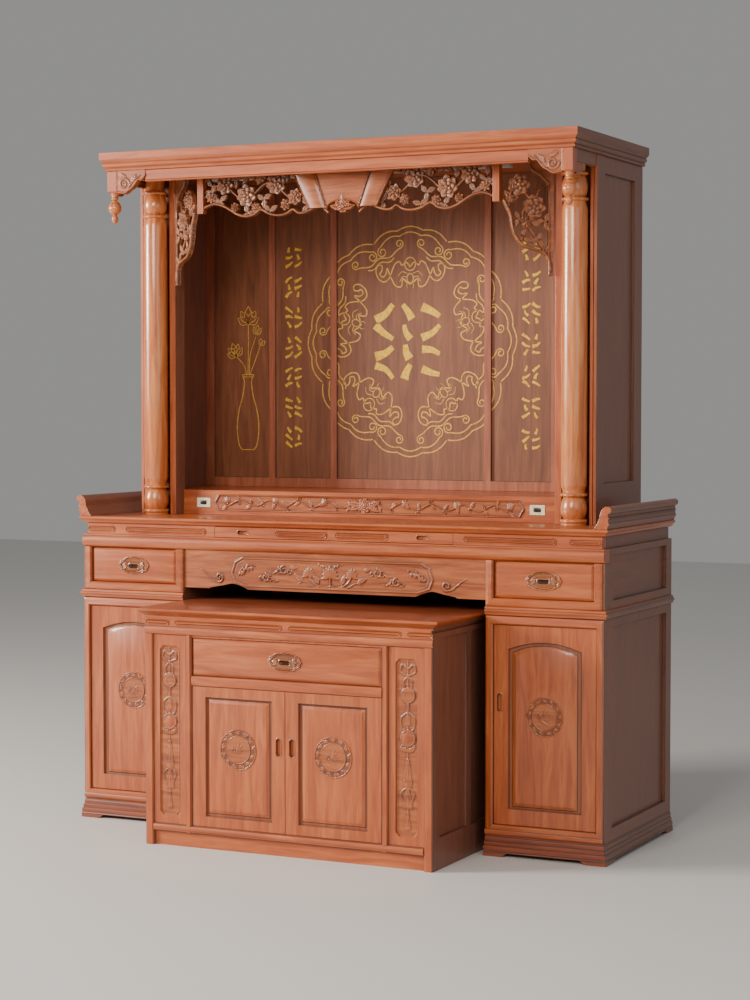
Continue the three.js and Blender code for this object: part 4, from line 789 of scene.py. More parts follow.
# One wing of a bat, in shares of its size: the scalloped rear edge, and a tip that hooks over.
WING_LINE = [
    (0.0, 0.34), (0.16, 0.5), (0.34, 0.4), (0.44, 0.54), (0.62, 0.44), (0.74, 0.2), (0.86, -0.08),
    (1.08, -0.2), (1.3, -0.06), (1.4, 0.22), (1.3, 0.42), (1.14, 0.38), (1.16, 0.2), (1.24, 0.1),
    (1.12, -0.02), (0.98, 0.1), (0.94, 0.3), (0.8, 0.0), (0.6, -0.34), (0.36, -0.38), (0.3, -0.1),
    (0.14, -0.22), (0.0, -0.3),
]
for k in range(5):
    angle = math.pi / 2 + k * 2 * math.pi / 5
    centre = around(222, np.array(angle))
    out = np.array([math.cos(angle), math.sin(angle)])
    across = np.array([out[1], -out[0]])

    def laid(points, steps=5):
        """Points in shares of the bat's size, laid on the wall with its tail outwards."""
        line = smooth(points, steps)
        return centre + 92 * (line[:, :1] * across + line[:, 1:] * out)

    for way in (-1, 1):
        ring_strokes += [
            (laid(np.array(WING_LINE) * (way, 1), 4), 4.2),
            (laid([(way * 0.12, 0.1), (way * 0.34, 0.16), (way * 0.5, 0.0)]), 2.8, 0.4),
            (laid([(way * 0.14, -0.04), (way * 0.3, -0.02), (way * 0.42, -0.2)]), 2.8, 0.4),
            (laid([(way * 0.05, -0.2), (way * 0.14, -0.34), (way * 0.1, -0.46)]), 2.8, 0.6),
        ]
    turn = np.linspace(0, 2 * math.pi, 13)
    ring_strokes.append((laid(oval((0, 0.44), 0.22, 0.24, turn), 2), 3.4))
    ring_strokes.append((laid(oval((0, -0.08), 0.13, 0.17, turn), 2), 3.2))
inlay("ring_of_clouds", ring_strokes)


def brush(centre, wide, high, cells, seed, width):
    """Brush strokes in the cells of a grid, each turned its own way inside its cell; they form no letter."""
    pick = np.random.default_rng(seed)
    strokes = []
    for k in range(cells[0] * cells[1]):
        column, row = k % cells[0], k // cells[0]
        cell = np.array([wide / cells[0], high / cells[1]])
        middle = centre + cell * (column - (cells[0] - 1) / 2, (cells[1] - 1) / 2 - row)
        lean = pick.uniform(0.1, 0.7) * pick.choice((-1, 1)) + (math.pi / 2 if (k + seed) % 3 == 0 else 0)
        way = np.array([math.cos(lean), math.sin(lean)])
        reach = 0.44 * min(cell[0] / max(abs(way[0]), 0.2), cell[1] / max(abs(way[1]), 0.2)) - width * 0.2
        bow = np.array([-way[1], way[0]]) * reach * pick.uniform(-0.25, 0.25)
        line = smooth([middle - way * reach, middle + bow, middle + way * reach], 7)
        strokes.append((line, width * pick.uniform(0.85, 1.1), 0.45))
    return strokes


couplets = []
for column, middle in enumerate((-446, 441)):
    for row in range(7):
        couplets += brush((middle, 1890 - 104 * row), 72, 76, (2, 3), 11 * column + row + 3, 11)
inlay("columns_of_strokes", couplets, gold_brush)
inlay("centre_strokes", brush((RING[0] - 10, RING[1]), 262, 270, (3, 4), 41, 30), gold_brush)

VASE_HALF = [
    (24, 1221), (36, 1240), (43, 1285), (42, 1325), (33, 1370), (22, 1405), (15.5, 1440), (14.5, 1462),
    (23, 1484),
]


def petals_in_line(at, size, turns, lean=0.0):
    """Outlined petals: each is two bowed lines from the heart to a point, turned from the upright."""
    heart = np.array(at, dtype=float)
    lines = []
    for turn in turns:
        angle = turn + lean
        out = np.array([math.sin(angle), math.cos(angle)]) * size * (1 - 0.22 * abs(turn))
        bulge = np.array([math.cos(angle), -math.sin(angle)]) * size * 0.24
        for way in (-1, 1):
            lines.append((smooth([heart, heart + out * 0.5 + way * bulge, heart + out], 6), 2.8))
    return lines


flowers = []
for way in (-1, 1):
    middle = way * 628
    for flip in (-1, 1):
        flowers.append((smooth(VASE_HALF, 5) * (flip, 1) + (middle, 0), 3.6))
    for z, reach in ((1221, 24), (1476, 20), (1484, 24)):
        flowers.append(([(middle - reach, z), (middle + reach, z)], 3.2))
    stalks = ((-6, -16, -46, 1548), (0, 2, 2, 1662), (6, 10, 34, 1622), (9, 30, 50, 1585))
    for foot, bend, head, tip in stalks:
        stalk = [(middle + foot, 1486), (middle + bend, (1486 + tip) / 2), (middle + head, tip)]
        flowers.append((smooth(stalk), 2.8))
    flowers += petals_in_line((middle + 2, 1662), 62, (-1.15, -0.6, 0, 0.6, 1.15))
    flowers += petals_in_line((middle - 46, 1548), 50, (-1.0, -0.5, 0, 0.5, 1.0), -0.35)
    flowers += petals_in_line((middle + 34, 1622), 36, (-0.5, 0, 0.5), 0.2)
    flowers += petals_in_line((middle + 50, 1585), 28, (-0.4, 0.4), 0.5)
inlay("vases_of_lotus", flowers)


# ---- Shrine step and its sockets
# The raised shelf on which the figures stand. Its riser has a long carved cartouche, a
# flower in the middle and vines to both sides, and a small switch plate at each end.

STEP_FACE, STEP_HALF, STEP_Z = 250.0, 560.0, 1051
laid_back = (lambda x, y, z: (x < 565) & (np.abs(z - STEP_Z) < 31) & (y < 249.9), STEP_FACE)
finished("shrine_step", rail_wood, 0.8, press=laid_back)


def blossom(board, at, radius, rise, petals=8, turn=0.0):
    """Three whorls of petals round a seeded eye: |cos| lobes each rim, and each petal rises to its tip."""
    du, dv = board["u"] - at[0], board["v"] - at[1]
    away, angle = np.hypot(du, dv), np.arctan2(dv, du) + turn
    for k, share in enumerate((1.0, 0.7, 0.42)):
        lobe = np.abs(np.cos(petals / 2 * angle + k * math.pi / 2))
        rim = radius * share * (0.78 + 0.22 * lobe**0.6)
        edge = rim - away
        cup = (away / rim).clip(0, 1)
        height = 0.34 + 0.2 * k + 0.3 * cup**2 - 0.16 * (1 - lobe) - 0.08 * np.exp(-((lobe - 1) ** 2) * 900)
        stamp(board, edge, rise * height * (edge / 1.2).clip(0, 1) ** 0.4)
    eye = radius * 0.17
    seeds = 0.92 + 0.08 * np.cos(du * 6.28 / 3.2) * np.cos(dv * 6.28 / 3.2)
    stamp(board, eye - away, rise * seeds * (0.8 + 0.2 * dome(away / eye)))


def step_half(side, way):
    """One half of the cartouche: a raised border with cut corners, and a wandering vine with its leaves."""
    board = board_of(mirrored((0.0, STEP_HALF + 4), way), (1022, 1080), 1.7)
    x = np.abs(board["u"])
    inside = np.minimum(STEP_HALF + 2 - x, 28 - np.abs(board["v"] - STEP_Z)) + 0.3
    corner = (STEP_HALF + 12 - x) - np.abs(board["v"] - STEP_Z) * 0.55 - 4
    inside = np.minimum(inside, corner)
    stamp(board, inside, 0.6)
    border = [(0, 1076), (543, 1076), (558, STEP_Z), (543, 1026), (0, 1026)]
    stem(board, np.array(border) * (way, 1), 2.6, 4.4)
    t = np.linspace(0.07, 0.96, 90)
    vine = np.stack([way * t * 540, STEP_Z + 10 * np.sin(t * 5 * 2 * math.pi)], axis=1)
    stem(board, vine, 2.0, 4.0)
    for k in range(11):
        share = 0.1 + 0.85 * k / 10
        spot = (way * share * 540, STEP_Z + 10 * math.sin(share * 10 * math.pi))
        upward = 1 if k % 2 else -1
        turn = upward * (0.75 if k % 3 else 1.25)
        leaf(board, spot, 24, 5.5, facing(turn, way), 3.8, 3 * upward)
        stem(board, curl((spot[0], spot[1] - 9 * upward), 7, 1.1, k, upward), 1.4, 3.6, 0.4)
        if k % 4 == 2:
            blossom(board, (spot[0], STEP_Z - 8 * upward), 12, 5.0, 6, k)
    blossom(board, (0, STEP_Z), 25, 7.5, 8, 0.2)
    leaf(board, (way * 14, STEP_Z), 48, 11, facing(0.25, way), 5.4, 4)
    leaf(board, (way * 14, 1048), 44, 9, facing(-0.3, way), 5.0, -4)
    trim(board, inside)
    name = f"step_carving_{side}"
    carved(name, board, upright_at(STEP_FACE), 0.5, carved_wood, "frame", soft=2.0)


for side, way in HALVES:
    step_half(side, way)

# Glossy moulded plates of a warm ivory, with a black centre.
plate = clouded("Moulded urea plate", ((0.3, "#d9c9a4"), (0.7, "#ece0c4")), 90.0, 3.0, 0.32)
dark_plate = clouded("Black bakelite", ((0.3, "#15130f"), (0.7, "#26221c")), 200.0, 2.0, 0.3)
for side in SIDES:
    finished(f"socket_{side}", plate, 1.4)


def rounded_block(name, low, high, radius, material, body):
    """A block whose upright edges are quarter circles: a rounded square outline at the front and the back."""
    (x0, y0, z0), (x1, y1, z1) = low, high
    t = np.linspace(0, math.pi / 2, 5)
    left, right, foot, head = x0 + radius, x1 - radius, z0 + radius, z1 - radius
    arcs = []
    for quarter, (x, z) in enumerate(((right, head), (left, head), (left, foot), (right, foot))):
        turn = t + quarter * math.pi / 2
        arcs.append(oval((x, z), radius, radius, turn))
    ring = np.vstack(arcs)
    n = len(ring)
    front = np.stack([ring[:, 0], np.full(n, y0 + FRONT), ring[:, 1]], axis=1)
    back = front + (0, y1 - y0, 0)
    k = np.arange(n)
    walls = np.stack([k, (k + 1) % n, (k + 1) % n + n, k + n], axis=1)
    mesh = bpy.data.meshes.new(name)
    mesh.from_pydata(
        (np.vstack([front, back]) / 1000).tolist(), [],
        [k[::-1].tolist(), (k + n).tolist(), *walls.tolist()],
    )
    work = bmesh.new()
    work.from_mesh(mesh)
    bmesh.ops.recalc_face_normals(work, faces=work.faces)
    rim = [seam for seam in work.edges if seam.calc_face_angle() > math.radians(60)]
    bmesh.ops.bevel(work, geom=rim, offset=0.0006, segments=2, profile=0.5, affect="EDGES")
    work.to_mesh(mesh)
    work.free()
    piece = link(name, mesh, material)
    mesh.set_sharp_from_angle(angle=math.radians(25))
    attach(piece, body)
    return piece


for side, way in HALVES:
    rounded_block(
        f"socket_centre_{side}", (way * 604 - 11, 246.2, 1044), (way * 604 + 11, 248.6, 1056), 3,
        dark_plate, "frame",
    )


# ---- Pilasters and turned columns
# Behind stand channelled square posts, and before them turned columns with a bulb between
# two rings at the foot and at the head. The shafts carry the brightest lacquer of all.

# Turned shafts: the brightest and glossiest lacquer, with a broad upright grain.
TURNED_TONES = ("#aa5628", "#c6703a", "#dc9054")
turned_wood = lacquered_wood("Turned hardwood", TURNED_TONES, "z", rough=0.26, coat=0.6, ring=26)


def turned(name, centre, outline, slices, material, slot, body, replaced=()):
    """A turned solid: (radius, height) points swept round an upright axis, closed at both ends."""
    outline = np.asarray(outline, dtype=float)
    t = np.arange(slices) * 2 * math.pi / slices
    radius, height = outline[:, :1], outline[:, 1:]
    ring = np.stack([
        centre[0] + radius * np.cos(t),
        centre[1] + FRONT + radius * np.sin(t),
        height + 0 * t,
    ], axis=-1).reshape(-1, 3)
    rows = len(outline)
    i, j = np.meshgrid(np.arange(rows - 1), np.arange(slices), indexing="ij")
    a = (i * slices + j).ravel()
    b = (i * slices + (j + 1) % slices).ravel()
    quads = np.stack([a, b, b + slices, a + slices], axis=1).tolist()
    caps = [list(range(slices))[::-1], list(range((rows - 1) * slices, rows * slices))]
    mesh = bpy.data.meshes.new(name)
    mesh.from_pydata((ring / 1000).tolist(), [], quads + caps)
    piece = link(name, mesh, material)
    mesh.set_sharp_from_angle(angle=math.radians(48))
    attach(piece, body)
    if replaced:
        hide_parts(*replaced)
    return piece


def bead(radius, foot, high, out, count=9):
    """A half-round ring: the radius grows by out * sin while the height climbs by a half circle."""
    t = np.linspace(0, math.pi, count)
    return np.stack([radius + out * np.sin(t), foot + high * (1 - np.cos(t)) / 2], axis=1)


def bulb(foot, head, neck, belly):
    """A pot shape: a sine that peaks below the middle swells the radius from neck to belly and back."""
    t = np.linspace(0, 1, 18)
    radius = neck + (belly - neck) * np.sin(math.pi * t**0.85) ** 0.8
    return np.stack([radius, foot + (head - foot) * t], axis=1)


COLUMN_FOOT, COLUMN_HEAD = 1010.3, 2144.7
column_outline = np.vstack([
    [(0.5, COLUMN_FOOT), (40, COLUMN_FOOT), (40, COLUMN_FOOT + 6)],
    bead(38, COLUMN_FOOT + 7, 11, 4.4),
    bulb(COLUMN_FOOT + 20, COLUMN_FOOT + 86, 31, 41),
    bead(37, COLUMN_FOOT + 88, 10, 5.4),
    [(34, COLUMN_FOOT + 101), (35, COLUMN_FOOT + 108), (38, COLUMN_FOOT + 116), (40, COLUMN_FOOT + 124)],
    [(40.4, 1400), (40.4, 1700), (40, 1976), (37, 1990), (34, 2001)],
    bead(37, 2003, 10, 5.4),
    bulb(2016, 2080, 31, 40),
    bead(37, 2081, 10, 5.4),
    [(33, 2094), (32, 2100), (32, COLUMN_HEAD), (0.5, COLUMN_HEAD)],
])
for side, way in HALVES:
    finished(f"pilaster_{side}", stile_wood, 1.0, shaded_side_wood)
    turned(
        f"column_{side}_turned", (way * 750, 184), column_outline, 64,
        turned_wood, "turned_wood", "frame", (f"column_{side}",),
    )


# ---- Pierced frieze, dividers, spandrels and plaque
# Boards carved right through with peonies, leaves and stems, each with a raised wavy rim
# below. A folded cloth of wood hangs in the middle, and oblique wings meet the columns.

FRIEZE_Y, FRIEZE_TOP = 100.0, 2144.7
FRIEZE_FROM, FRIEZE_TO = 54.0, 513.0
# Pierced boards: dry and hardly coated, since no polish gets in between the petals.
frieze_wood = lacquered_wood(
    "Pierced carved hardwood", ("#6e3a20", "#925430", "#b07044"), "x",
    rough=0.46, coat=0.12, ring=16, pore=1.4,
)
FRIEZE_EDGE = [
    (513, 2018), (496, 2026), (474, 2030), (444, 2024), (416, 2010), (388, 1994), (359, 1987), (328, 1991),
    (302, 2007), (272, 1993), (240, 1986), (208, 1990), (184, 2003), (166, 1992), (145, 1991), (116, 2000),
    (87, 2013), (72, 2003), (56, 1988),
]


# On either half: peonies as (x, z, radius), and sprays of three leaves as (x, z).
PEONIES = [
    (435, 2094, 33), (357, 2057, 39), (246, 2088, 37), (176, 2046, 29), (212, 2024, 20), (320, 2018, 19),
    (398, 2020, 17), (110, 2054, 29), (486, 2054, 19), (302, 2114, 21), (138, 2110, 19),
]
LEAF_SPOTS = [
    (484, 2072), (500, 2116), (452, 2042), (396, 2112), (290, 2044), (308, 2120), (268, 2006), (206, 2124),
    (150, 2094), (132, 2020), (84, 2080), (350, 2002), (478, 2040), (350, 2120), (442, 2128), (266, 2130),
    (172, 2126), (410, 2126),
]


def petal(board, at, long, wide, turn, foot, tip):
    """A spoon-shaped petal: half width wide * sin(pi * s ** 1.5) ** 0.7, where s runs from heart to tip.

    Its height climbs evenly from foot to tip, and is half an ellipse across, so that its rim falls away.
    """
    du, dv = board["u"] - at[0], board["v"] - at[1]
    along = (du * math.cos(turn) + dv * math.sin(turn)) / long
    aside = np.abs(dv * math.cos(turn) - du * math.sin(turn))
    s = along.clip(0, 1)
    half = wide * np.sin(math.pi * s**1.5).clip(0, 1) ** 0.7 + 1e-6
    edge = np.where((along > 0) & (along < 1), half - aside, -99)
    crown = dome(aside / half)
    stamp(board, edge, (foot + (tip - foot) * s) * (0.5 + 0.5 * crown))


def peony(board, at, radius, rise, turn=0.0):
    """A peony cut right out of the board: three whorls of petals that overlap, and a round heart."""
    for count, share, width, foot, tip, shift in (
        (7, 1.0, 0.34, 0.12, 0.66, 0.0),
        (6, 0.74, 0.28, 0.35, 0.86, 0.4),
        (5, 0.48, 0.2, 0.6, 1.0, 0.1),
    ):
        for j in range(count):
            angle = turn + shift + j * 2 * math.pi / count
            reach = radius * share * (0.92 + 0.08 * math.cos(5 * j + turn))
            petal(board, at, reach, radius * width, angle, rise * foot, rise * tip)
    away = np.hypot(board["u"] - at[0], board["v"] - at[1]) / (radius * 0.15)
    stamp(board, (1 - away) * radius * 0.15, rise * (0.84 + 0.16 * dome(away)))


def frieze(side, way):
    """Half of the frieze: peonies, leaves and a wandering stem, with the gaps between them left open."""
    board = board_of(mirrored((FRIEZE_FROM, FRIEZE_TO), way), (1982, FRIEZE_TOP), 1.9)
    u, v = np.abs(board["u"]), board["v"]
    line = smooth(FRIEZE_EDGE, 5)[::-1]
    low = np.interp(u, line[:, 0], line[:, 1])
    inside = np.minimum(np.minimum(v - low, FRIEZE_TOP - v), np.minimum(FRIEZE_TO - u, u - FRIEZE_FROM)) + 0.6
    t = np.linspace(0, 1, 90)
    stem(board, np.stack([way * (66 + 446 * t), 2070 + 26 * np.sin(t * 5 * math.pi + 0.6)], axis=1), 3.4, 6.0)
    for k, (x, z) in enumerate(LEAF_SPOTS):
        for j in range(3):
            angle = 2.2 * k + j * 2.1
            leaf(board, (way * x, z), 32, 9.5, facing(angle, way), 5.5, 6 * math.sin(j + k))
    for k, (x, z, radius) in enumerate(PEONIES):
        peony(board, (way * x, z), radius, 16.0 - 1.5 * (k % 3), 0.7 * k)
    trim(board, inside)
    stem(board, line * (way, 1) + (0, 4), 4.4, 9.5)
    top = np.minimum(np.minimum(v - 2139, FRIEZE_TOP - v) + 0.6, FRIEZE_TO - u)
    stamp(board, top, 3.0)
    trim(board, np.minimum(FRIEZE_TO - u, u - FRIEZE_FROM) + 0.6)
    # Painted shade darkens the low parts, more the lower they lie, so the flowers stand out light.
    carved(
        f"frieze_carving_{side}", board, upright_at(FRIEZE_Y + 8), 6, frieze_wood, "frame",
        (f"fretwork_{side}",), deep=9,
    )


for side, way in HALVES:
    frieze(side, way)
    finished(f"divider_{side}", stile_wood)

WING_FROM, WING_TO = (543.0, 104.0), (674.0, 196.0)
WING_LONG = math.hypot(WING_TO[0] - WING_FROM[0], WING_TO[1] - WING_FROM[1])
WING_EDGE = [
    (2, 2004), (22, 1963), (28, 1928), (39, 1896), (63, 1868), (92, 1858), (125, 1847), (143, 1826),
    (150, 1790),
]


def spandrel(side, way):
    """A wing carved in its own plane: s runs from the divider to the post, and the edge sweeps down."""
    board = board_of((0, WING_LONG), (1777, FRIEZE_TOP), 2)
    s, v = board["u"], board["v"]
    line = smooth(WING_EDGE, 6)
    beyond = np.where(s < 150, v - np.interp(s, line[:, 0], line[:, 1]), v - 1777)
    inside = np.minimum(np.minimum(beyond * 0.8, FRIEZE_TOP - v), np.minimum(s, WING_LONG - s) + 0.3) + 0.6
    stem(board, smooth([(60, 2040), (84, 2010), (62, 1960), (100, 1900), (140, 1840)], 12), 3.6, 6.0)
    stem(board, smooth([(100, 2000), (112, 2040), (104, 2062)]), 2.2, 6.0, 0.5)
    stem(board, smooth([(112, 2036), (124, 2052), (134, 2056)]), 2.0, 6.0, 0.5)
    stem(board, [(8, 2002), (30, 2040)], 3.0, 6.0)
    sprays = ((24, 2016), (52, 1950), (92, 1942), (66, 1896), (112, 1886), (138, 1846), (132, 1944))
    for k, (x, z) in enumerate(sprays):
        for j in range(3):
            leaf(board, (x, z), 30, 8.5, 1.9 * k + j * 2.1, 6.0, 7 * math.sin(j + k))
    for k, (x, z, radius) in enumerate(((50, 2056, 37), (98, 1988, 39), (24, 2012, 17), (74, 1938, 19))):
        peony(board, (x, z), radius, 15.0 - 1.5 * (k % 2), 0.8 * k)
    cove = [(72, 2150), (80, 2124), (92, 2102), (120, 2084), (139, 2062), (145, 2036), (146, 1780)]
    frame_line = smooth(cove, 8)
    limit = np.interp(-v, -frame_line[:, 1], frame_line[:, 0])
    stamp(board, np.minimum(s - limit, WING_LONG - s) + 0.3, 5.0)
    beside = np.where(s < limit, 1e3, FRIEZE_TOP - v + 0.6)
    trim(board, np.minimum(inside, beside))
    stem(board, frame_line, 3.0, 9.0)
    stem(board, line + (2, 3), 4.4, 9.5)
    trim(board, np.minimum(np.minimum(s, WING_LONG - s), FRIEZE_TOP - v) + 0.6)
    run = (np.array(WING_TO) - WING_FROM) / WING_LONG

    def place(u, v, w):
        x = WING_FROM[0] + run[0] * u + run[1] * w
        y = WING_FROM[1] + run[1] * u - run[0] * w
        return np.stack([way * x, y + FRONT, v], axis=1) / 1000

    name = f"spandrel_carving_{side}"
    # Painted shade darkens the low parts, more the lower they lie, so the flowers stand out light.
    made = carved(name, board, place, 8, frieze_wood, "frame", (f"spandrel_{side}",), deep=5)
    if way < 0:
        made.data.flip_normals()


for side, way in HALVES:
    spandrel(side, way)


def plaque():
    """The folded cloth: it splays upwards, rolled flaps flank a plain middle, and a peony hangs below."""
    board = board_of((-193, 193), (1988, FRIEZE_TOP), 1.9)
    u, v = np.abs(board["u"]), board["v"]
    up = ((v - 2008) / (FRIEZE_TOP - 2008)).clip(-0.2, 1)
    half = 123 + 69 * up
    fold = 58 + 50 * up
    inside = np.minimum(np.minimum(half - u, v - 2006), FRIEZE_TOP - v) + 0.6
    roll = ((u - fold) / (half - fold)).clip(0, 1)
    height = np.where(
        u < fold,
        7.5 + 1.2 * np.cos(u / fold * math.pi / 2),
        4.5 + 7.5 * np.sin(math.pi * roll**0.8) ** 0.7,
    )
    arch = np.hypot(board["u"] / 56, (v - 2004) / 27) - 1
    stamp(board, np.minimum(inside, arch * 30), height)
    for way in (-1, 1):
        sides = np.array([(123, 2008), (192, FRIEZE_TOP)]) * (way, 1)
        stem(board, sides - (way * 3, 0), 2.6, 10.5)
        folds = np.array([(58, 2010), (108, FRIEZE_TOP)]) * (way, 1)
        stem(board, folds, 2.4, 11.5)
    trim(board, inside)
    t = np.linspace(0, math.pi, 40)
    stem(board, oval((0, 2004), 56, 27, t), 3.0, 11)
    for k, turn in enumerate((0.15, 0.8, 1.57, 2.34, 2.99)):
        leaf(board, (0, 2004), 46 - 6 * (k % 2), 11, turn, 11)
    stem(board, [(0, 2024), (0, 2044)], 4, 11)
    blossom(board, (0, 2008), 21, 14.5, 8, 0.3)
    face = upright_at(FRIEZE_Y - 2.5)
    carved("plaque_carving", board, face, 0, carved_wood, "frame", ("plaque",))


plaque()


# ---- Roof, fascias, corner posts and brackets
# A flat roof with a deep moulded cornice. At its front corners hang square posts with turned
# drops, and small carved brackets stand between the posts, the fascia and the roof.

finished("roof", rail_wood, 1.0, shaded_side_rail)
finished("fascia_front", rail_wood, 0.8)
DROP = np.vstack([
    [(0.5, 1975), (6, 1977), (10, 1984), (11.5, 1990), (10, 1998), (6, 2003)],
    bulb(2004, 2051, 7, 22),
    bead(8, 2052, 8, 4),
    [(8, 2061), (13, 2067), (14, 2075), (0.5, 2075)],
])
for side, way in HALVES:
    finished(f"fascia_side_{side}", shaded_side_rail, 0.8)
    finished(f"corner_post_{side}", stile_wood, 0.8)
    turned(f"corner_drop_{side}", (way * 798, 10), DROP, 40, turned_wood, "turned_wood", "frame")
    finished(f"bracket_side_{side}", carved_wood, 0.8)


def bracket(side, way):
    """A carved bracket beside the corner post: a stepped outline with a scroll, leaves and a raised rim."""
    board = board_of(mirrored((672, 780), way), (2067, 2145), 1.4)
    u, v = np.abs(board["u"]), board["v"]
    foot = [(672, 2126), (686, 2112), (700, 2112), (716, 2092), (734, 2080), (752, 2070), (780, 2074)]
    line = smooth(foot, 6)
    low = np.interp(u, line[:, 0], line[:, 1])
    inside = np.minimum(np.minimum(v - low, FRIEZE_TOP - v), np.minimum(779.7 - u, u - 672.3)) + 0.6
    stamp(board, inside, 0.0)
    stem(board, curl((way * 752, 2102), 20, 1.4, 0, -way), 4.2, 5.4, 0.5)
    stem(board, smooth([(734, 2092), (716, 2112), (690, 2128)]) * (way, 1), 3.4, 4.8, 0.6)
    leaf(board, (way * 726, 2106), 34, 8, facing(2.3, way), 5.0, 3)
    leaf(board, (way * 744, 2122), 30, 7, facing(0.5, way), 4.6)
    trim(board, inside)
    stem(board, line * (way, 1) + (0, 3), 2.6, 4.2)
    trim(board, inside + 0.5)
    board["lift"] *= 0.6
    name = f"bracket_carving_{side}"
    carved(name, board, upright_at(-6), 20, carved_wood, "frame", (f"bracket_front_{side}",))


for side, way in HALVES:
    bracket(side, way)

# Enamel over sheet steel, plain white and half glossy.
lamp_white = clouded("White enamelled sheet", ((0.3, "#c9c9c2"), (0.7, "#deded8")), 30.0, 3.0, 0.35)
finished("lamp_batten", lamp_white, 2.0)


# ---- The small cabinet
# A low cabinet that stands in the kneehole: rounded posts and rails, a drawer over two
# panelled doors, and a narrow panel at each side carved with a hanging string of charms.

CABINET_FACE = -300  # the front of the cabinet's posts
CHARM_X, CHARM_FACE = 411, -294.0  # the middle of a carved strip, and its ground
CABINET_DISC = (164, 318)  # the middle of a cabinet door's medallion
finished(
    "cabinet_carcase", stile_wood, 1.0, shaded_side_wood,
    (rail_wood, lambda x, y, z: (y < -270) & ((z > 664) | ((z > 507) & (z < 541)) | (z < 71))),
    (lambda x, y, z: (x < 495) & (np.abs(z - 702) < 12.5) & (y > -302.5) & (y < -300.1), -300.0),
)
for side, way in HALVES:
    for label, ends in (("middle", (12, 390)), ("corner", (410, 494))):
        reeds(f"cabinet_reeds_{label}_{side}", mirrored(ends, way), 702, 8, CABINET_FACE, "frame")
    slot_rim(f"cabinet_door_slot_{side}", (way * 23, 335), 28, 9, CABINET_FACE, f"cabinet_door_{side}")
# Painted shade: the cabinet's top takes the darker footing tone.
shaded_cabinet_top = (shaded_footing_wood, lambda x, y, z: z > 745.5)
finished("cabinet_top", rail_wood, 1.0, across=shaded_cabinet_top)
finished("cabinet_plinth", rail_wood, 1.2)
laid_back = (lambda x, y, z: (x < 62) & (np.abs(z - 599) < 34) & (y < -302.5), -302.0)
finished("cabinet_drawer", rail_wood, 1.4, press=laid_back)
pull("cabinet_drawer_pull", (0, 599), -302, "cabinet_drawer")


def charm_panel(side, way):
    """A sunk field inside a plain frame, and down its middle a bow, two discs, tassels and a blossom."""
    middle = way * CHARM_X
    board = board_of((middle - 37, middle + 37), (95, 631), 1.8)
    u, v = board["u"] - middle, board["v"]
    inside = np.minimum(36.5 - np.abs(u), np.minimum(v - 95.5, 630.5 - v))
    inside = np.minimum(inside, (44 - np.abs(u)) - np.maximum(v - 618, 108 - v).clip(0, None))
    stamp(board, inside, 0.3)
    border = [(34, 116), (34, 610), (22, 627), (-22, 627), (-34, 610), (-34, 116), (-22, 99), (22, 99)]
    stem(board, np.array([*border, border[0]]) + (middle, 0), 1.8, 2.6)
    for way_u in (-1, 1):
        for thread, half, rise, *taper in (
            ([(0, 598), (18, 612), (24, 590), (0, 578)], 2.6, 4.6),
            ([(0, 578), (14, 560), (8, 536)], 2.4, 4.2, 0.5),
            ([(0, 470), (22, 452), (20, 424), (8, 412)], 2.4, 4.4),
            ([(4, 246), (22, 226), (12, 200)], 2.2, 4.2, 0.5),
        ):
            line = np.array(thread) * (way_u, 1) + (middle, 0)
            stem(board, smooth(line), half, rise, *taper)
        stem(board, curl((middle + way_u * 15, 366), 9, 1.2, 0, way_u), 2.4, 4.4, 0.4)
        leaf(board, (middle, 352), 30, 7, facing(0.5, way_u), 4.4)
    stem(board, [(middle, 626), (middle, 118)], 1.8, 3.6)
    for z, radius in ((520, 24), (392, 26)):
        away = np.hypot(u, v - z)
        stamp(board, radius - away, 4.2 * ((radius - away) / 1.5).clip(0, 1) ** 0.5)
        for ring in (radius - 3, radius * 0.55):
            stamp(board, 1.8 - np.abs(away - ring), 5.8 - 0.4 * np.abs(away - ring))
    for k in range(4):
        leaf(board, (middle, 392), 13, 4, k * math.pi / 2 + 0.78, 6.0)
    for z, half, long in ((496, 9, 66), (330, 15, 74), (240, 17, 60), (170, 10, 50)):
        share = ((z - v) / long).clip(0, 1)
        edge = np.where((v < z) & (v > z - long), half * (0.3 + 0.7 * share) - np.abs(u), -9)
        threads = 0.75 + 0.25 * np.cos(u * 6.28 / (2.6 + share))
        stamp(board, edge, 4.6 * threads * (0.75 + 0.25 * np.cos(share * 6)))
    blossom(board, (middle, 252), 14, 6.0, 6)
    trim(board, inside)
    board["lift"] *= 0.62
    carved(f"charm_carving_{side}", board, upright_at(CHARM_FACE), 0.6, carved_wood, "frame")


for side, way in HALVES:
    laid_back = (
        lambda x, y, z: (np.hypot(x - CABINET_DISC[0], z - CABINET_DISC[1]) < 65) & (y < -299.1),
        -299.0,
    )
    # Painted shade on the rebate round the cabinet door's field.
    sunk = (rebate_shade_wood, lambda x, y, z: (y > -295) & (y < -292))
    finished(f"cabinet_door_{side}", stile_wood, 1.2, across=sunk, press=laid_back)
    at = (way * CABINET_DISC[0], CABINET_DISC[1])
    medallion(f"cabinet_medallion_{side}", at, 64, -299, f"cabinet_door_{side}")
    strip = (
        lambda x, y, z: (np.abs(x - CHARM_X) < 36.4) & (np.abs(z - 363) < 267) & (y < -294.1) & (y > -298.9),
        CHARM_FACE,
    )
    finished(f"cabinet_panel_{side}", stile_wood, 0.6, press=strip)
    charm_panel(side, way)


# ---- Camera, light and floor
# A pale floor that runs on into a pale ground. A warm lamp shines from far on the left and one
# from high in front; weak ones on the right and overhead lift the shadows.

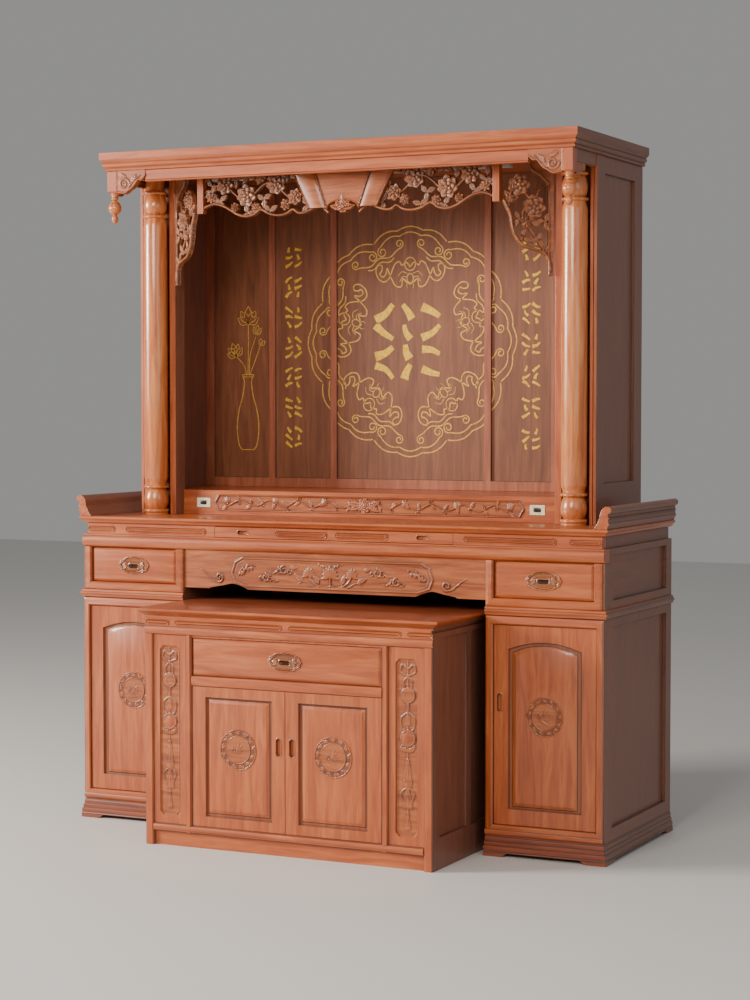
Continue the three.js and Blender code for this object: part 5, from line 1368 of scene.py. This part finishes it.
view = bpy.data.cameras.new("View")
view.lens = 79.8
view.sensor_width = 36
view.sensor_fit = "VERTICAL"
view.sensor_height = 36
view.clip_end = 60
eye = bpy.data.objects.new("View", view)
eye.location = (3.1775, -6.2170 + FRONT / 1000, 1.3944)
eye.rotation_euler = (math.pi / 2 - 0.045, 0, 0.452)
bpy.context.scene.collection.objects.link(eye)
bpy.context.scene.camera = eye


def lamp(name, where, towards, size, watts, colour):
    """An area lamp of that width and height in metres, turned so that it shines at a point."""
    light = bpy.data.lights.new(name, "AREA")
    light.shape = "RECTANGLE"
    light.size, light.size_y = size
    light.energy = watts
    light.color = colour
    held = bpy.data.objects.new(name, light)
    held.location = where
    held.rotation_euler = (Vector(towards) - Vector(where)).to_track_quat("-Z", "Y").to_euler()
    bpy.context.scene.collection.objects.link(held)


lamp("Key", (-5.2, -3.4, 2.6), (0, 0, 1.2), (1.6, 1.6), 600, (1.0, 0.94, 0.86))
lamp("Fill", (4.2, -3.4, 2.6), (0, 0, 1.5), (2.6, 2.6), 35, (0.98, 0.98, 1.0))
lamp("Front", (0.6, -6.2, 3.6), (0, 0, 1.2), (2.2, 2.2), 235, (1.0, 0.93, 0.85))
lamp("Top", (0, -2.2, 4.4), (0, 0, 1.0), (2.2, 2.2), 15, (1.0, 1.0, 1.0))

room = bpy.data.worlds.new("Pale room")
room.use_nodes = True
room.node_tree.nodes["Background"].inputs["Color"].default_value = (0.87, 0.86, 0.845, 1)
room.node_tree.nodes["Background"].inputs["Strength"].default_value = 0.34
bpy.context.scene.world = room

floor_mesh = bpy.data.meshes.new("floor")
floor_mesh.from_pydata([(-12, -12, 0), (12, -12, 0), (12, 12, 0), (-12, 12, 0)], [], [(0, 1, 2, 3)])
floor = bpy.data.objects.new("floor", floor_mesh)
bpy.context.scene.collection.objects.link(floor)
# Matt paint of a warm light grey.
pale = bpy.data.materials.new("Pale painted floor")
pale.use_nodes = True
pale.node_tree.nodes["Principled BSDF"].inputs["Base Color"].default_value = linear("#d8d6d2")
pale.node_tree.nodes["Principled BSDF"].inputs["Roughness"].default_value = 0.6
floor_mesh.materials.append(pale)
